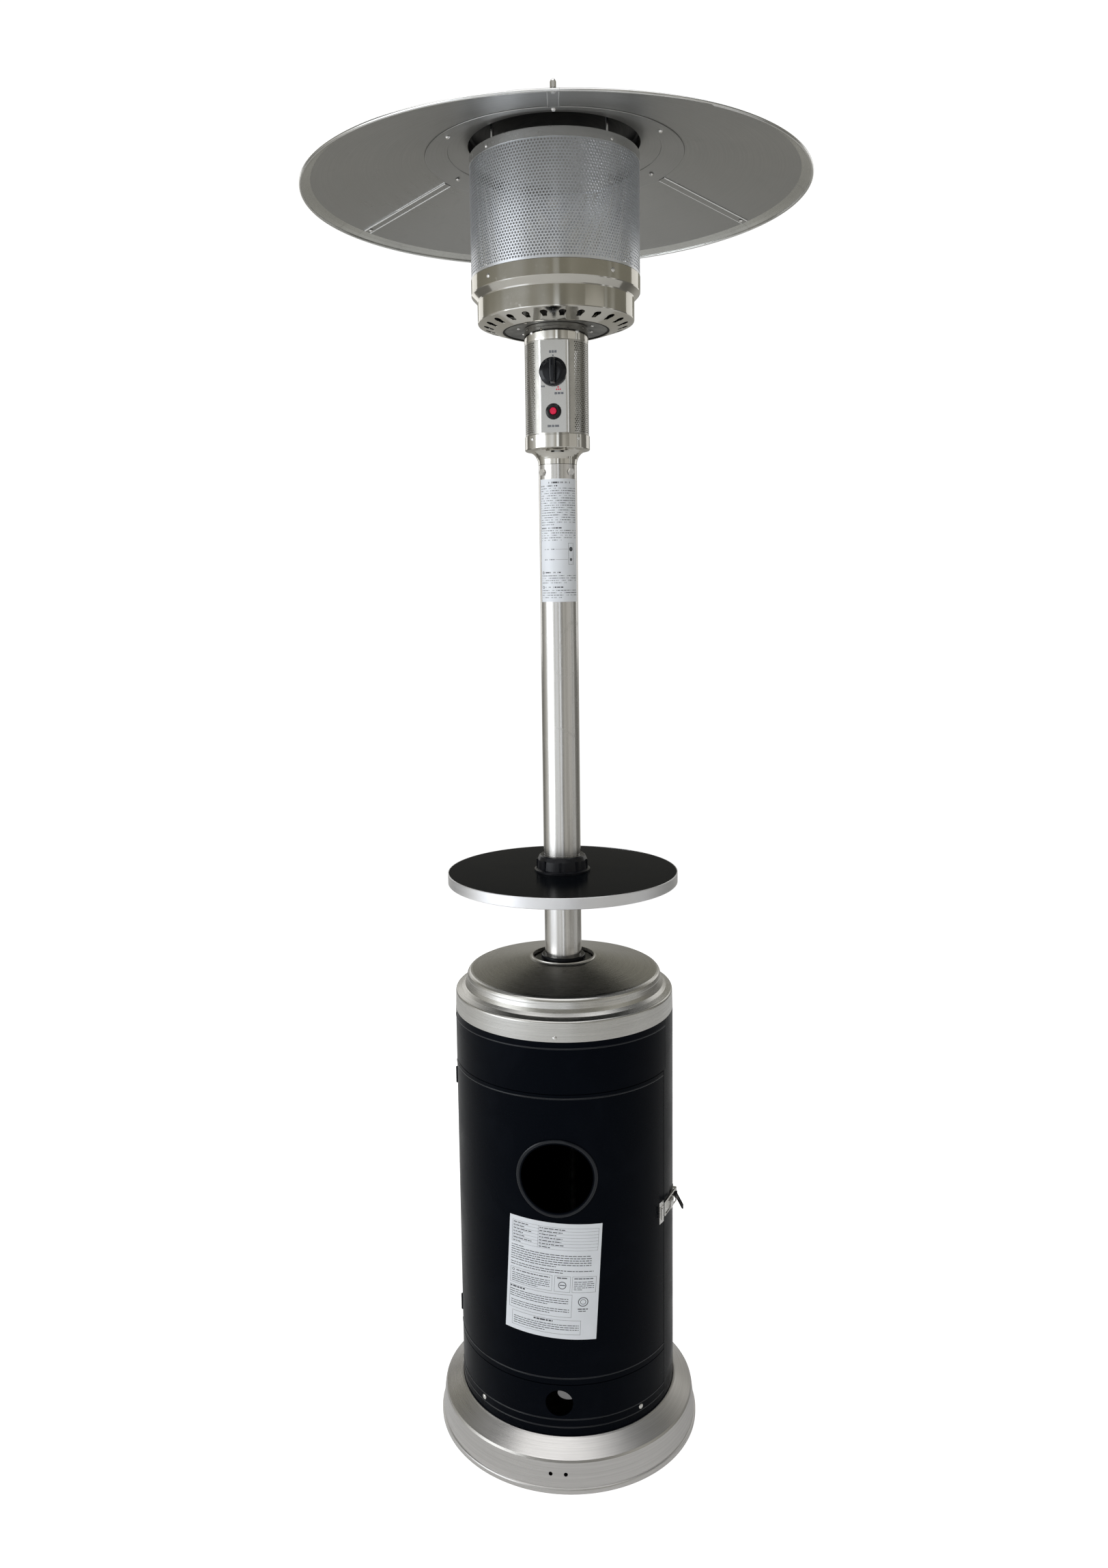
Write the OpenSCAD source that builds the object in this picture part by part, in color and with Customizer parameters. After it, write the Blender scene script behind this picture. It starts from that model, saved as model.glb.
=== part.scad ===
// Free-standing propane patio heater with a reflector hood, a round table and a cylinder housing.
// Millimetres, +Z up, front towards -Y, origin at the centre of the base where it meets the floor.

/* [Overall] */
// Width of the base across its rolled rim
base_d = 457.2; // [440:1:480]
// Width of the reflector across its rolled hem
reflector_d = 813; // [790:1:830]
// Outside width of the post
post_d = 63.5; // [63:0.5:64]

/* [Base and housing] */
// Outside width of the cylinder housing
barrel_d = 377; // [375:1:379]
// Height of the top edge of the cylinder housing
barrel_top = 751; // [745:1:755]
// Height of the door's lower edge
door_bottom = 164.5; // [160:0.5:170]
// Height of the door's upper edge
door_top = 663.2; // [655:0.2:663.2]
// Angle of the hinge line, from the front towards +X
hinge_angle = -80; // [-85:1:-78]
// Angle of the door's closing edge, from the front towards +X
seam_angle = 65.9; // [65:0.1:66]
// Width of the hand hole in the door
hand_hole_d = 118; // [100:1:125]
// Height of the centre of the hand hole
hand_hole_z = 522.5; // [500:0.5:540]
// Width of the vent hole below the door
vent_hole_d = 46; // [30:1:50]
// Thickness of the sheet of the housing
barrel_t = 1.5; // [1:0.1:2]

/* [Table] */
// Width of the table over its edge band
table_d = 394; // [380:1:410]
// Height of the table's upper face
table_z = 988; // [960:1:1010]

/* [Controls] */
// Width of the perforated control housing
housing_d = 104; // [102:1:105]
// Width of the control panel's face
panel_w = 48; // [44:1:49]
// Height of the centre of the control knob
knob_z = 1810; // [1805:1:1815]
// Width of the control knob's skirt
knob_d = 44; // [38:1:44]
// Travel of the knob when pressed
knob_travel = 3; // [2:0.5:3]
// Height of the centre of the igniter button
button_z = 1748.5; // [1745:0.5:1755]
// Travel of the igniter button
button_travel = 4; // [2:0.5:4]

/* [Burner] */
// Width of the burner housing's upper band
head_d = 274.4; // [273:0.2:276]
// Width of the burner housing's lower band
head_low_d = 255; // [250:1:258]
// Height of the underside of the burner housing
head_z = 1897.5; // [1897.5:0.5:1898]
// Number of radial air slots in the burner housing's conical underside
slot_count = 24; // [20:1:26]

/* [Reflector] */
// Height of the reflector panels at their outer fold
rim_z = 2106.3; // [2104:0.1:2108]
// Angle of the first panel seam, from the front towards +X
panel_seam = 5.9; // [0:0.1:10]

/* [Hidden] */
$fn = 96;
fit = 0.05;             // radial clearance of a running fit
gap = 0.3;              // clearance between pieces that move past each other
quarters = [45, 135, 225, 315];

post_r = post_d / 2;
post_t = 1.5;
post_z0 = 703;
post_z1 = 1670.5;

base_r = base_d / 2;
base_t = 1.2;
base_top = 73;          // inner edge of the base ring
plate_z = 14;
plate_t = 2.5;

barrel_r = barrel_d / 2;
barrel_in = barrel_r - barrel_t;
barrel_z0 = base_top - 8.9;         // it stands on the base ring's inner seat
rear_edge = seam_angle + 0.5;           // front edge of the rear shell beside the door
rear_edge_top = seam_angle + 2.6;       // and beside the upper front band
rear_end = 360 + hinge_angle - 0.37;    // its edge at the hinge line
door_start = hinge_angle + 0.25;
band_z = door_top + 1.3;                // lower edge of the upper front band
low_z = door_bottom - 1.5;              // upper edge of the lower front band

leg_r = 7;
leg_place = 172;
leg_angles = [-100, 180, 100];
bracket_z = 735;
bracket_t = 4;

hinge_r = barrel_r - 0.5;               // distance of the hinge line from the axis
hinge_knuckle = 3;
hinge_pin_r = 1.4;
hinge_h = 28;
hinge_heights = [204, 628];

latch_z = 418;
latch_pivot_angle = 85.8;
latch_pivot_r = 192.2;
lever_len = 52;
lever_tilt = 18.5;                        // lever angle above the housing's tangent
loop_arm = 9;                           // from the lever's pivot to the loop's pivot
loop_len = 57;
loop_tilt = -16.1;
wire_r = 1.2;
latch_pin_r = 1.4;

dome_t = 1.2;
panel_y = 67.5;                         // front face of the control panel, towards -Y
panel_z0 = 1716;
panel_z1 = 1859;
housing_r = housing_d / 2;
housing_z0 = 1717.3;
housing_z1 = 1864.3;

head_r = head_d / 2;
head_low_r = head_low_d / 2;
shelf_z = 1966;                         // where the emitter stands on the burner housing
dish_z = head_z - 12.5;                 // lowest ring of the burner housing's underside
dish_r = 84;                            // and its inner edge
slot_phase = -5;
plate_screws = [-115, -75, 75, 115];
emitter_r = 136.7;
emitter_top = 2155;

cone_out = 388;                         // radius of the outer fold of the reflector
cone_in = 172.5;
cone_slope = 0.2677;
sheet_t = 0.9;
hem_r = 2.2;
stud_place = 125;
pilot_angle = 33;
pilot_place = 80;
crown_z = 2192;

// Geometry helpers

function unit(v) = v / norm(v);
function left_of(a, b) = let (u = unit(b - a)) [-u[1], u[0]];
function corner(p, i) =
    let (n0 = left_of(p[max(i - 1, 0)], p[max(i, 1)]))
    let (n1 = i < len(p) - 1 ? left_of(p[i], p[i + 1]) : n0)
    (n0 + n1) / (1 + n0 * n1);
// Closed outline of a sheet of thickness t on the left of an open path
function sheet(p, t) = concat(p, [for (i = [len(p) - 1:-1:0]) p[i] + t * corner(p, i)]);
// Points along an arc about c
function arc(c, r, a0, a1, n = 5) =
    [for (i = [0:n]) c + r * [cos(a0 + (a1 - a0) * i / n), sin(a0 + (a1 - a0) * i / n)]];
// Height of the underside of the reflector's cone
function cone_z(r) = rim_z + (cone_out - r) * cone_slope;

// Solid of revolution about the heater's axis
module turned(outline) rotate_extrude() polygon(outline);

// The part of it between two angles measured from the front towards +X
module turned_arc(outline, a0, a1) {
    rotate([0, 0, a0 - 90]) rotate_extrude(angle = a1 - a0) polygon(outline);
}

module tube(r_in, r_out, z0, z1) {
    turned([[r_in, z0], [r_out, z0], [r_out, z1], [r_in, z1]]);
}

module tube_arc(r_in, r_out, z0, z1, a0, a1) {
    turned_arc([[r_in, z0], [r_out, z0], [r_out, z1], [r_in, z1]], a0, a1);
}

// Children at an angle from the front, with their own -Y pointing outwards
module at(angle, r = 0, z = 0) rotate([0, 0, angle]) translate([0, -r, z]) children();

// Cylinder along local -Y from distance y0 to distance y1
module rod_out(r, y0, y1) translate([0, -y0, 0]) rotate([90, 0, 0]) cylinder(r = r, h = y1 - y0);

// Pan-head screw or rivet pointing outwards, its head on a surface at the local origin
module pan_screw(head_r, head_h, shank_r, depth) {
    rotate([90, 0, 0]) {
        rotate_extrude() polygon(concat(
            [[0, 0], [head_r, 0]],
            [for (a = [15:15:90]) [head_r * cos(a), head_h * sin(a)]]
        ));
        translate([0, 0, -depth]) cylinder(r = shank_r, h = depth + 0.1);
    }
}

// Hexagon bolt along +Z with its head on z = 0
module hex_bolt(across, head_h, shank_r, depth) {
    cylinder(r = across / sqrt(3), h = head_h, $fn = 6);
    translate([0, 0, -depth]) cylinder(r = shank_r, h = depth + 0.1);
}

// Base

module base_ring() {
    path = [
        [base_r - 4.2, 0], [base_r, 0], [base_r, 6.6], [base_r - 0.8, 8.2], [base_r - 2.4, 8.9],
        [base_r - 2.4, 11.8], [base_r - 6.2, 45], [base_r - 7.1, 50], [base_r - 9.4, 53],
        [base_r - 36, 71.6], [base_r - 38, base_top + 0.4], [base_r - 39.2, base_top + 0.5],
        [base_r - 39.9, base_top - 0.6], [base_r - 39.9, base_top - 9], [183, base_top - 9]
    ];
    color("silver") difference() {
        turned(sheet(path, base_t));
        for (x = [-12.5, 12.5]) translate([x, 0, 31.7]) rod_out(3.25, 200, 240);
    }
}

module base_plate() {
    color("dimgray") difference() {
        tube(20, base_r - 4.4, plate_z, plate_z + plate_t);
        for (a = leg_angles) at(a, leg_place, plate_z - 1) cylinder(r = 4.2, h = plate_t + 2);
    }
}

module support_leg(angle) {
    z0 = plate_z + plate_t;
    color("darkgray") at(angle, leg_place) difference() {
        translate([0, 0, z0]) cylinder(r = leg_r, h = bracket_z - z0);
        translate([0, 0, z0 - 1]) cylinder(r = 4, h = 15);
        translate([0, 0, bracket_z - 14]) cylinder(r = 4, h = 15);
    }
}

module support_leg_left() support_leg(leg_angles[0]);
module support_leg_back() support_leg(leg_angles[1]);
module support_leg_right() support_leg(leg_angles[2]);

module leg_bolts() {
    color("gainsboro") for (a = leg_angles) {
        at(a, leg_place, bracket_z + bracket_t) hex_bolt(13, 5, 3.9, 14);
        at(a, leg_place, plate_z) mirror([0, 0, 1]) hex_bolt(13, 5, 3.9, 14);
    }
}

// Post and its bracket

module post_bracket() {
    arm_w = 34;
    color("darkgray") difference() {
        union() {
            translate([0, 0, bracket_z]) cylinder(r = 62, h = bracket_t);
            for (a = leg_angles) {
                at(a, leg_place, bracket_z) cylinder(r = arm_w / 2 - 6, h = bracket_t);
                at(a, 0, bracket_z) translate([-11, -leg_place, 0]) cube([22, leg_place, bracket_t]);
            }
            tube(20, post_r + 4, post_z0 - 3, 800);
        }
        translate([0, 0, post_z0]) cylinder(r = post_r + 0.1, h = 120);
        translate([0, 0, post_z0 - 5]) cylinder(r = 20, h = 20);
        for (a = leg_angles) at(a, leg_place, bracket_z - 1) cylinder(r = 4.2, h = bracket_t + 2);
        for (a = [60, 180, 300]) at(a, 0, 770) rod_out(3, post_r - 5, post_r + 10);
    }
}

module post() {
    color("lightgray") difference() {
        tube(post_r - post_t, post_r, post_z0 + 0.1, post_z1);
        for (a = quarters) at(a, 0, 1658) rod_out(3, post_r - 5, post_r + 5);
        for (a = [60, 180, 300]) at(a, 0, 770) rod_out(3, post_r - 5, post_r + 5);
    }
}

// One hexagon bolt pointing outwards through the post's wall, head on radius r
module post_bolt(angle, r, z) at(angle, r, z) rotate([90, 0, 0]) hex_bolt(10, 4, 2.95, r - post_r + 4);

module post_bolts() {
    color("gainsboro") {
        for (a = quarters) post_bolt(a, post_r, 1658);
        for (a = [60, 180, 300]) post_bolt(a, post_r + 4, 770);
    }
}

module post_label() {
    color("white") tube_arc(post_r + 0.02, post_r + 0.25, 1447, 1647, -57.3, 70);
}

// Cylinder housing

// Wall of the housing between two heights and two angles, with shallow rolled lines at given heights
module wall(z0, z1, a0, a1, lines = []) {
    color([0.09, 0.1, 0.11]) difference() {
        tube_arc(barrel_in, barrel_r, z0, z1, a0, a1);
        for (z = lines) tube_arc(barrel_r - 0.5, barrel_r + 1, z - 0.6, z + 0.6, a0 - 1, a1 + 1);
    }
}

module barrel_rear() {
    difference() {
        wall(barrel_z0, barrel_top, rear_edge, rear_end);
        tube_arc(barrel_in - 1, barrel_r + 1, band_z, barrel_top + 1, rear_edge - 1, rear_edge_top);
        for (z = hinge_heights) translate([0, 0, z])
            tube_arc(barrel_in - 1, barrel_r + 1, -hinge_h / 2 - 0.6, hinge_h / 2 + 0.6,
                rear_end - 0.75, rear_end + 2);
    }
}

module barrel_top_front() {
    wall(band_z, barrel_top, hinge_angle + 0.1, rear_edge_top - 0.3, [740]);
}

module barrel_low_front() {
    color([0.09, 0.1, 0.11]) difference() {
        wall(barrel_z0, low_z, hinge_angle + 0.1, rear_edge - 0.3, [88, 102]);
        at(0, 0, 131) rod_out(vent_hole_d / 2, 170, 200);
        for (a = [-45, 45]) at(a, 0, 95) rod_out(2, 170, 200);
    }
}

module barrel_screws() {
    color("gainsboro") for (a = [-45, 45]) at(a, barrel_r, 95) pan_screw(4.6, 2.4, 1.95, 6);
}

// Frame welded behind the door's edges, set back where the door closes on it
module door_jamb() {
    face = barrel_in - gap - 0.05;
    weld = barrel_in - 0.05;
    color([0.07, 0.07, 0.08]) difference() {
        tube_arc(face - 1.2, weld, low_z - 8, band_z + 8, -66, seam_angle + 5);
        tube_arc(face - 3, weld + 1, door_bottom + 8, door_top - 8, -67, seam_angle - 3.5);
        tube_arc(face, weld + 1, low_z - 0.6, band_z + 0.6, -67, rear_edge + 0.4);
    }
}

// One leaf of a hinge with the knuckles that belong to it: side 1 is the door's, side -1 the shell's
module hinge_leaf(side, knuckles) {
    r0 = barrel_in - 1.4;
    r1 = barrel_in - 0.05;
    near = hinge_angle + side * 1.1;
    far = hinge_angle + side * 8;
    tube_arc(r0, r1, -hinge_h / 2, hinge_h / 2, min(near, far), max(near, far));
    for (k = knuckles) at(hinge_angle, 0, k[0]) {
        translate([side > 0 ? 1 : -5, 0.3 - r1, 0]) cube([4, r1 - r0 - 0.6, k[1] - k[0]]);
        translate([0, -hinge_r, 0]) cylinder(r = hinge_knuckle, h = k[1] - k[0]);
    }
}

module hinge_leaves() {
    color([0.1, 0.1, 0.11]) for (z = hinge_heights) translate([0, 0, z]) {
        hinge_leaf(-1, [[-hinge_h / 2, -6], [6, hinge_h / 2]]);
        at(hinge_angle, hinge_r, -hinge_h / 2 - 0.5) cylinder(r = hinge_pin_r, h = hinge_h + 1);
    }
}

module door_hinges() {
    color([0.1, 0.1, 0.11]) for (z = hinge_heights) translate([0, 0, z]) difference() {
        hinge_leaf(1, [[-5.7, 5.7]]);
        at(hinge_angle, hinge_r, -10) cylinder(r = hinge_pin_r + fit, h = 20);
    }
}

module door() {
    color([0.09, 0.1, 0.11]) difference() {
        union() {
            wall(door_bottom, door_top, door_start, seam_angle, [door_bottom + 10.5, door_top - 6.5]);
            intersection() {
                tube_arc(barrel_r - 1, barrel_r + 1.2, 400, 640, -40, 40);
                at(0, 0, hand_hole_z) rod_out(hand_hole_d / 2 + 8, 150, 200);
            }
        }
        at(0, 0, hand_hole_z) rod_out(hand_hole_d / 2, 150, 200);
        for (z = hinge_heights) translate([0, 0, z])
            tube_arc(barrel_in - 1, barrel_r + 2, -hinge_h / 2 - 0.6, hinge_h / 2 + 0.6,
                hinge_angle - 1, hinge_angle + 1.12);
    }
}

module door_label() {
    color("white") intersection() {
        tube_arc(barrel_r + 0.02, barrel_r + 0.3, 200, 500, -45, 45);
        at(-2.8, 150, 347) rotate([0, 3.3, 0]) translate([-76, -60, -100]) cube([152, 80, 200]);
    }
}

module latch_keeper() {
    plate = [seam_angle - 5.4, seam_angle - 0.8];
    color("silver") {
        tube_arc(barrel_r + 0.02, barrel_r + 1.5, latch_z - 19, latch_z + 19, plate[0], plate[1]);
        tube_arc(barrel_r + 1, barrel_r + 6, latch_z - 10, latch_z + 10, plate[0] + 0.9, plate[0] + 1.4);
        tube_arc(barrel_r + 4.6, barrel_r + 5.8, latch_z - 9.6, latch_z + 9.6, plate[0], plate[0] + 1.2);
        for (s = [-1, 1]) at(plate[0] + 3.2, barrel_r + 1.4, latch_z + s * 9) pan_screw(3.4, 2, 1.5, 0.9);
    }
}

// Children in the latch's own frame: +X along the housing's tangent towards the door, +Y outwards
module latch_frame() {
    rotate([0, 0, latch_pivot_angle]) translate([0, -latch_pivot_r, latch_z]) rotate([0, 0, 180]) children();
}

module latch_base() {
    color("silver") union() {
        tube_arc(barrel_r + 0.05, barrel_r + 0.9, latch_z - 9, latch_z + 9, rear_edge + 1.6, 89);
        tube_arc(barrel_r + 0.8, barrel_r + 6.5, latch_z - 7, latch_z + 7, 71.5, 76.5);
        latch_frame() {
            for (s = [-1, 1]) translate([0, 0, s * 7.5 - 1]) {
                cylinder(r = 3.4, h = 2);
                translate([-3.4, -3.2, 0]) cube([6.8, 3.2, 2]);
            }
            translate([0, 0, -9]) cylinder(r = latch_pin_r, h = 18);
        }
        for (s = [-1, 1]) at(79.5, barrel_r + 0.8, latch_z + s * 5) pan_screw(2.6, 1.6, 1, 0.6);
    }
}

module latch_lever() {
    color([0.08, 0.08, 0.09]) latch_frame() rotate([0, 0, lever_tilt]) difference() {
        union() {
            translate([0, -1.3, -4]) cube([lever_len, 2.6, 8]);
            translate([0, 0, -6]) cylinder(r = 2.6, h = 12);
            translate([loop_arm, 0, -6]) cylinder(r = 2.4, h = 12);
        }
        translate([0, 0, -10]) cylinder(r = latch_pin_r + fit, h = 20);
        translate([loop_arm, 0, -10]) cylinder(r = wire_r + fit, h = 20);
        translate([lever_len * 0.55, -5, -1.5]) cube([12, 10, 3]);
    }
}

module latch_loop() {
    half = 11;
    color("gainsboro") latch_frame() rotate([0, 0, lever_tilt]) translate([loop_arm, 0, 0])
        rotate([0, 0, loop_tilt - lever_tilt]) {
            translate([0, 0, -half]) cylinder(r = wire_r, h = 2 * half);
            translate([loop_len, 0, -half]) cylinder(r = wire_r, h = 2 * half);
            for (s = [-1, 1]) translate([0, 0, s * half]) {
                rotate([0, 90, 0]) cylinder(r = wire_r, h = loop_len);
                sphere(r = wire_r);
                translate([loop_len, 0, 0]) sphere(r = wire_r);
            }
        }
}

// Cover over the housing

module cover_dome() {
    path = concat(
        [[barrel_in - 0.5, 741], [barrel_in - 0.5, barrel_top + 0.1], [barrel_r - 0.2, barrel_top + 0.3]],
        arc([183.2, 781], 4.4, 0, 75),
        [[177, 788.6], [171.5, 793]],
        [[168.6, 799], [167.6, 805]],
        arc([157.5, 807], 10, 0, 82),
        [[58, 834.6], [55.4, 835.6]],
        [[54.3, 837.2], [53.8, 838.6], [52.6, 838.6], [52.4, 833]]
    );
    color("silver") difference() {
        turned(sheet(path, dome_t));
        for (a = [0, 120, 240]) at(a, 0, 758) rod_out(2.2, 170, 200);
    }
}

module cover_grommet() {
    r0 = post_r + 0.1;
    color([0.05, 0.05, 0.06]) turned([
        [r0, 826], [50.9, 826], [50.9, 831], [48, 832.4], [38.5, 833], [37.6, 839.4],
        [36.4, 840.6], [r0, 840.6]
    ]);
}

module cover_rivets() {
    color("gainsboro") for (a = [0, 120, 240]) at(a, barrel_r - 0.2, 758) pan_screw(3.8, 1.9, 2.15, 3);
}

// Table

module table_top() {
    r = table_d / 2 - 1.7;
    color([0.14, 0.15, 0.16]) difference() {
        turned([
            [36.2, table_z - 17], [r, table_z - 17], [r, table_z - 1], [r - 1, table_z], [36.2, table_z]
        ]);
        for (a = [0:90:270]) at(a, 55, table_z - 18) cylinder(r = 2.55, h = 11);
    }
}

module table_band() {
    r = table_d / 2;
    path = [[r - 5, table_z - 18], [r - 0.8, table_z - 18], [r, table_z - 17.2], [r, table_z - 0.2],
        [r - 0.7, table_z + 0.5], [r - 1.5, table_z + 0.5]];
    color("gainsboro") union() {
        tube(r - 1.6, r - 0.4, table_z - 17.5, table_z + 0.3);
        turned(sheet(path, 0.7));
    }
}

module table_hub() {
    color([0.08, 0.08, 0.09]) difference() {
        union() {
            tube(post_r + 2 * fit, 70, table_z - 21.2, table_z - 17.1);
            tube(post_r + 2 * fit, post_r + 6, table_z - 52, table_z - 20);
            tube(post_r + 2 * fit, post_r + 3.4, table_z - 20, table_z + 20);
        }
        for (a = [0:90:270]) {
            at(a, 55, table_z - 25) cylinder(r = 2.6, h = 10);
            rotate([0, 0, a]) translate([-0.8, -45, table_z + 3]) cube([1.6, 20, 20]);
        }
    }
}

module table_screws() {
    color("gainsboro") for (a = [0:90:270])
        at(a, 55, table_z - 21.2) rotate([90, 0, 0]) pan_screw(4.4, 2.2, 2.5, 13);
}

module table_collar() {
    z0 = table_z + gap;
    bore = post_r + 3.4 + fit;
    color([0.07, 0.07, 0.08]) difference() {
        union() {
            turned([
                [bore, z0], [47.8, z0], [47.8, z0 + 3], [45.6, z0 + 4.2], [43.6, z0 + 5],
                [42.4, z0 + 20], [39.6, z0 + 26], [37.4, z0 + 28], [post_r + 0.4, z0 + 28],
                [post_r + 0.4, z0 + 21], [bore, z0 + 21]
            ]);
            for (a = [0:40:320]) at(a, 42, z0 + 3) translate([-2.2, -2.6, 0]) cube([4.4, 4, 18]);
        }
    }
}

// Control housing

module control_cup() {
    rim = 53.5;
    path = concat(
        [[post_r - post_t - 0.15, 1642], [post_r - post_t - 0.15, 1670.7], [post_r, 1671.2]],
        [for (a = [10:10:80]) [post_r + 19.6 * (1 - cos(a)), 1671.5 + 22.4 * sin(a)]],
        [[rim - 0.8, 1694.5], [rim, 1695.6], [rim, 1716.2], [rim - 0.6, 1717], [housing_r - 3, 1717]]
    );
    color("silver") difference() {
        turned(sheet(path, 1.2));
        for (a = quarters) at(a, 0, 1658) rod_out(3, post_r - 8, post_r + 5);
        for (a = quarters) at(a, 0, 1710) rod_out(1.7, 45, 60);
    }
}

module housing_screen() {
    color("darkgray") difference() {
        tube(housing_r - 1.2, housing_r, housing_z0, housing_z1);
        translate([-21, -60, panel_z0 + 8]) cube([42, 30, panel_z1 - panel_z0 - 16]);
    }
}

module upper_collar() {
    r = housing_r;
    path = [[r - 1.2, 1864.6], [r - 0.2, 1864.6], [r + 0.3, 1867], [r + 0.3, 1884.2],
        [r - 0.2, 1885], [r - 1.3, 1885.4], [r - 1.3, 1889.6], [r - 2, 1890.4],
        [47, 1890.7], [47, head_z - 1]];
    color("silver") difference() {
        turned(sheet(path, 1.2));
        for (a = quarters) at(a, 0, 1877) rod_out(1.7, 45, 60);
    }
}

module head_screws() {
    color("gainsboro") for (a = plate_screws)
        at(a, 62, dish_z + 3.8) rotate([90, 0, 0]) pan_screw(3, 1.7, 1.65, 3.6);
    color("gainsboro") for (a = quarters) {
        at(a, 53.5, 1710) pan_screw(3.4, 1.8, 1.65, 4);
        at(a, housing_r + 0.3, 1877) pan_screw(3.4, 1.8, 1.65, 4);
        at(a, head_r, 1953.5) pan_screw(3.6, 1.8, 1.65, 4);
        at(a, emitter_r + 0.5, 2145.5) pan_screw(3.2, 1.6, 1.65, 4);
    }
}

// Plan outline of the control panel's face and sides, outwards being -Y
function panel_path(half, y0, y1) = [
    [-half - 1.6, -y0], [-half, -y1 + 5], [-half + 1.2, -y1 + 1.4], [-half + 4, -y1],
    [half - 4, -y1], [half - 1.2, -y1 + 1.4], [half, -y1 + 5], [half + 1.6, -y0]
];

module control_panel() {
    path = panel_path(panel_w / 2, 45.6, panel_y);
    color("silver") difference() {
        union() {
            translate([0, 0, panel_z0]) linear_extrude(panel_z1 - panel_z0) polygon(sheet(path, 1.2));
            for (z = [panel_z0, panel_z1 - 1.2]) translate([0, 0, z]) linear_extrude(1.2) polygon(path);
        }
        translate([0, 0, panel_z0 - 1]) cylinder(r = 53.6, h = 3);
        translate([0, 0, panel_z0 + 1.9]) cylinder(r = housing_r + 0.1, h = panel_z1 - panel_z0);
        translate([0, 0, knob_z]) rod_out(5, 60, 80);
        translate([0, 0, button_z]) rod_out(9.1, 60, 80);
    }
}

// Round shaft or bore with a flat, along local -Y
module d_shape(r, flat, y0, y1) {
    intersection() {
        rod_out(r, y0, y1);
        translate([-2 * r, -y1, -2 * r]) cube([4 * r, y1 - y0, 2 * r + flat]);
    }
}

knob_back = panel_y + knob_travel + 0.6;
knob_tip = knob_back + 21;
spindle_tip = knob_tip - 8;

module control_knob() {
    r = knob_d / 2;
    color([0.06, 0.06, 0.07]) translate([0, 0, knob_z]) difference() {
        union() {
            translate([0, -knob_back, 0]) rotate([90, 0, 0]) rotate_extrude() polygon([
                [0, 0], [r, 0], [r, 2.6], [r - 1.4, 4.6], [r - 5, 6], [0, 6.4]
            ]);
            translate([-5.5, -knob_tip, -r + 1.6]) cube([11, 16, 2 * r - 3.2]);
        }
        d_shape(3 + fit, 2 + fit, knob_back - 1, spindle_tip + knob_travel + 0.4);
    }
}

module knob_spindle() {
    color("gainsboro") translate([0, 0, knob_z]) {
        rod_out(3, 45, 60);
        d_shape(3, 2, 59, spindle_tip);
    }
}

module gas_valve() {
    color("goldenrod") difference() {
        union() {
            translate([-14, -50, knob_z - 18]) cube([28, 62, 36]);
            translate([0, 0, knob_z]) rod_out(11, 49, panel_y - 1.4);
            translate([0, 0, knob_z - 26]) cylinder(r = 9.5, h = 9);
            translate([0, 0, knob_z + 17]) cylinder(r = 8, h = 12);
        }
        translate([0, 0, knob_z]) rod_out(3 + fit, 44, 80);
        translate([0, 0, knob_z - 27]) cylinder(r = 5.05, h = 12);
    }
}

module igniter_bezel() {
    color([0.06, 0.06, 0.07]) translate([0, -panel_y, button_z]) rotate([90, 0, 0]) rotate_extrude() polygon([
        [5.6, 0.05], [12.5, 0.05], [12.5, 1.8], [11.2, 3.6], [9, 4.4], [6.4, 4.4], [5.6, 3.6]
    ]);
}

module igniter_button() {
    color("firebrick") translate([0, 0, button_z]) {
        translate([0, -panel_y, 0]) rotate([90, 0, 0]) rotate_extrude() polygon([
            [0, -12], [5.3, -12], [5.3, 7.6], [4.4, 8.6], [0, 9]
        ]);
        rod_out(6.4, panel_y - 14, panel_y - 11.9);
    }
}

module igniter_body() {
    color("darkslategray") translate([0, 0, button_z]) difference() {
        union() {
            rod_out(9, panel_y - 36, panel_y);
            rod_out(11.5, panel_y - 8, panel_y - 1.3);
        }
        rod_out(5.6, panel_y - 12, panel_y + 1);
        rod_out(6.8, panel_y - 14 - button_travel - 1, panel_y - 11);
    }
}

module tilt_switch() {
    color("black") union() {
        translate([-12, 22, 1732]) cube([24, 22, 26]);
        translate([-8, 44, 1737]) cube([16, 5.6, 16]);
    }
}

// Gas train

module gas_pipe() color("darkgoldenrod") tube(3.5, 5, 676, knob_z - 15.2);

module hose_fitting() {
    color("goldenrod") difference() {
        union() {
            translate([0, 0, 661]) cylinder(r = 19 / sqrt(3), h = 15, $fn = 6);
            translate([0, 0, 645]) cylinder(r = 7.94, h = 16.5);
        }
        translate([0, 0, 640]) cylinder(r = 3.5, h = 40);
    }
}

module mixer_tube() {
    color("lightsteelblue") turned([
        [6, 1840], [14, 1840], [14, 1856], [10.5, 1872], [10.5, 1896], [13, 1915], [13, 1951],
        [11.5, 1951], [11.5, 1915], [9, 1896], [9, 1872], [12.5, 1856], [12.5, 1841.2], [6, 1841.2]
    ]);
}

// Disc inside the burner housing's underside, between its inner edge and the collar's neck
module burner_floor() {
    z0 = dish_z + base_t + 0.05;
    path = [[47.1, dish_z + 5.8], [51, dish_z + 5.8], [dish_r, z0], [dish_r + 6, z0]];
    color("dimgray") difference() {
        turned(sheet(path, 1.2));
        for (s = [-1, 1]) at(s * pilot_angle, pilot_place, dish_z - 1) cylinder(r = 3.1, h = 8);
        for (a = plate_screws) at(a, 62, dish_z) cylinder(r = 1.7, h = 10);
    }
}

module burner_head() {
    path = [[0, 1951.3], [58, 1951.3], [70, 1958], [72, 1972], [66, 1977], [10, 1979.6], [0, 1979.6]];
    color("gray") turned(sheet(path, 1.2));
}

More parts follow.
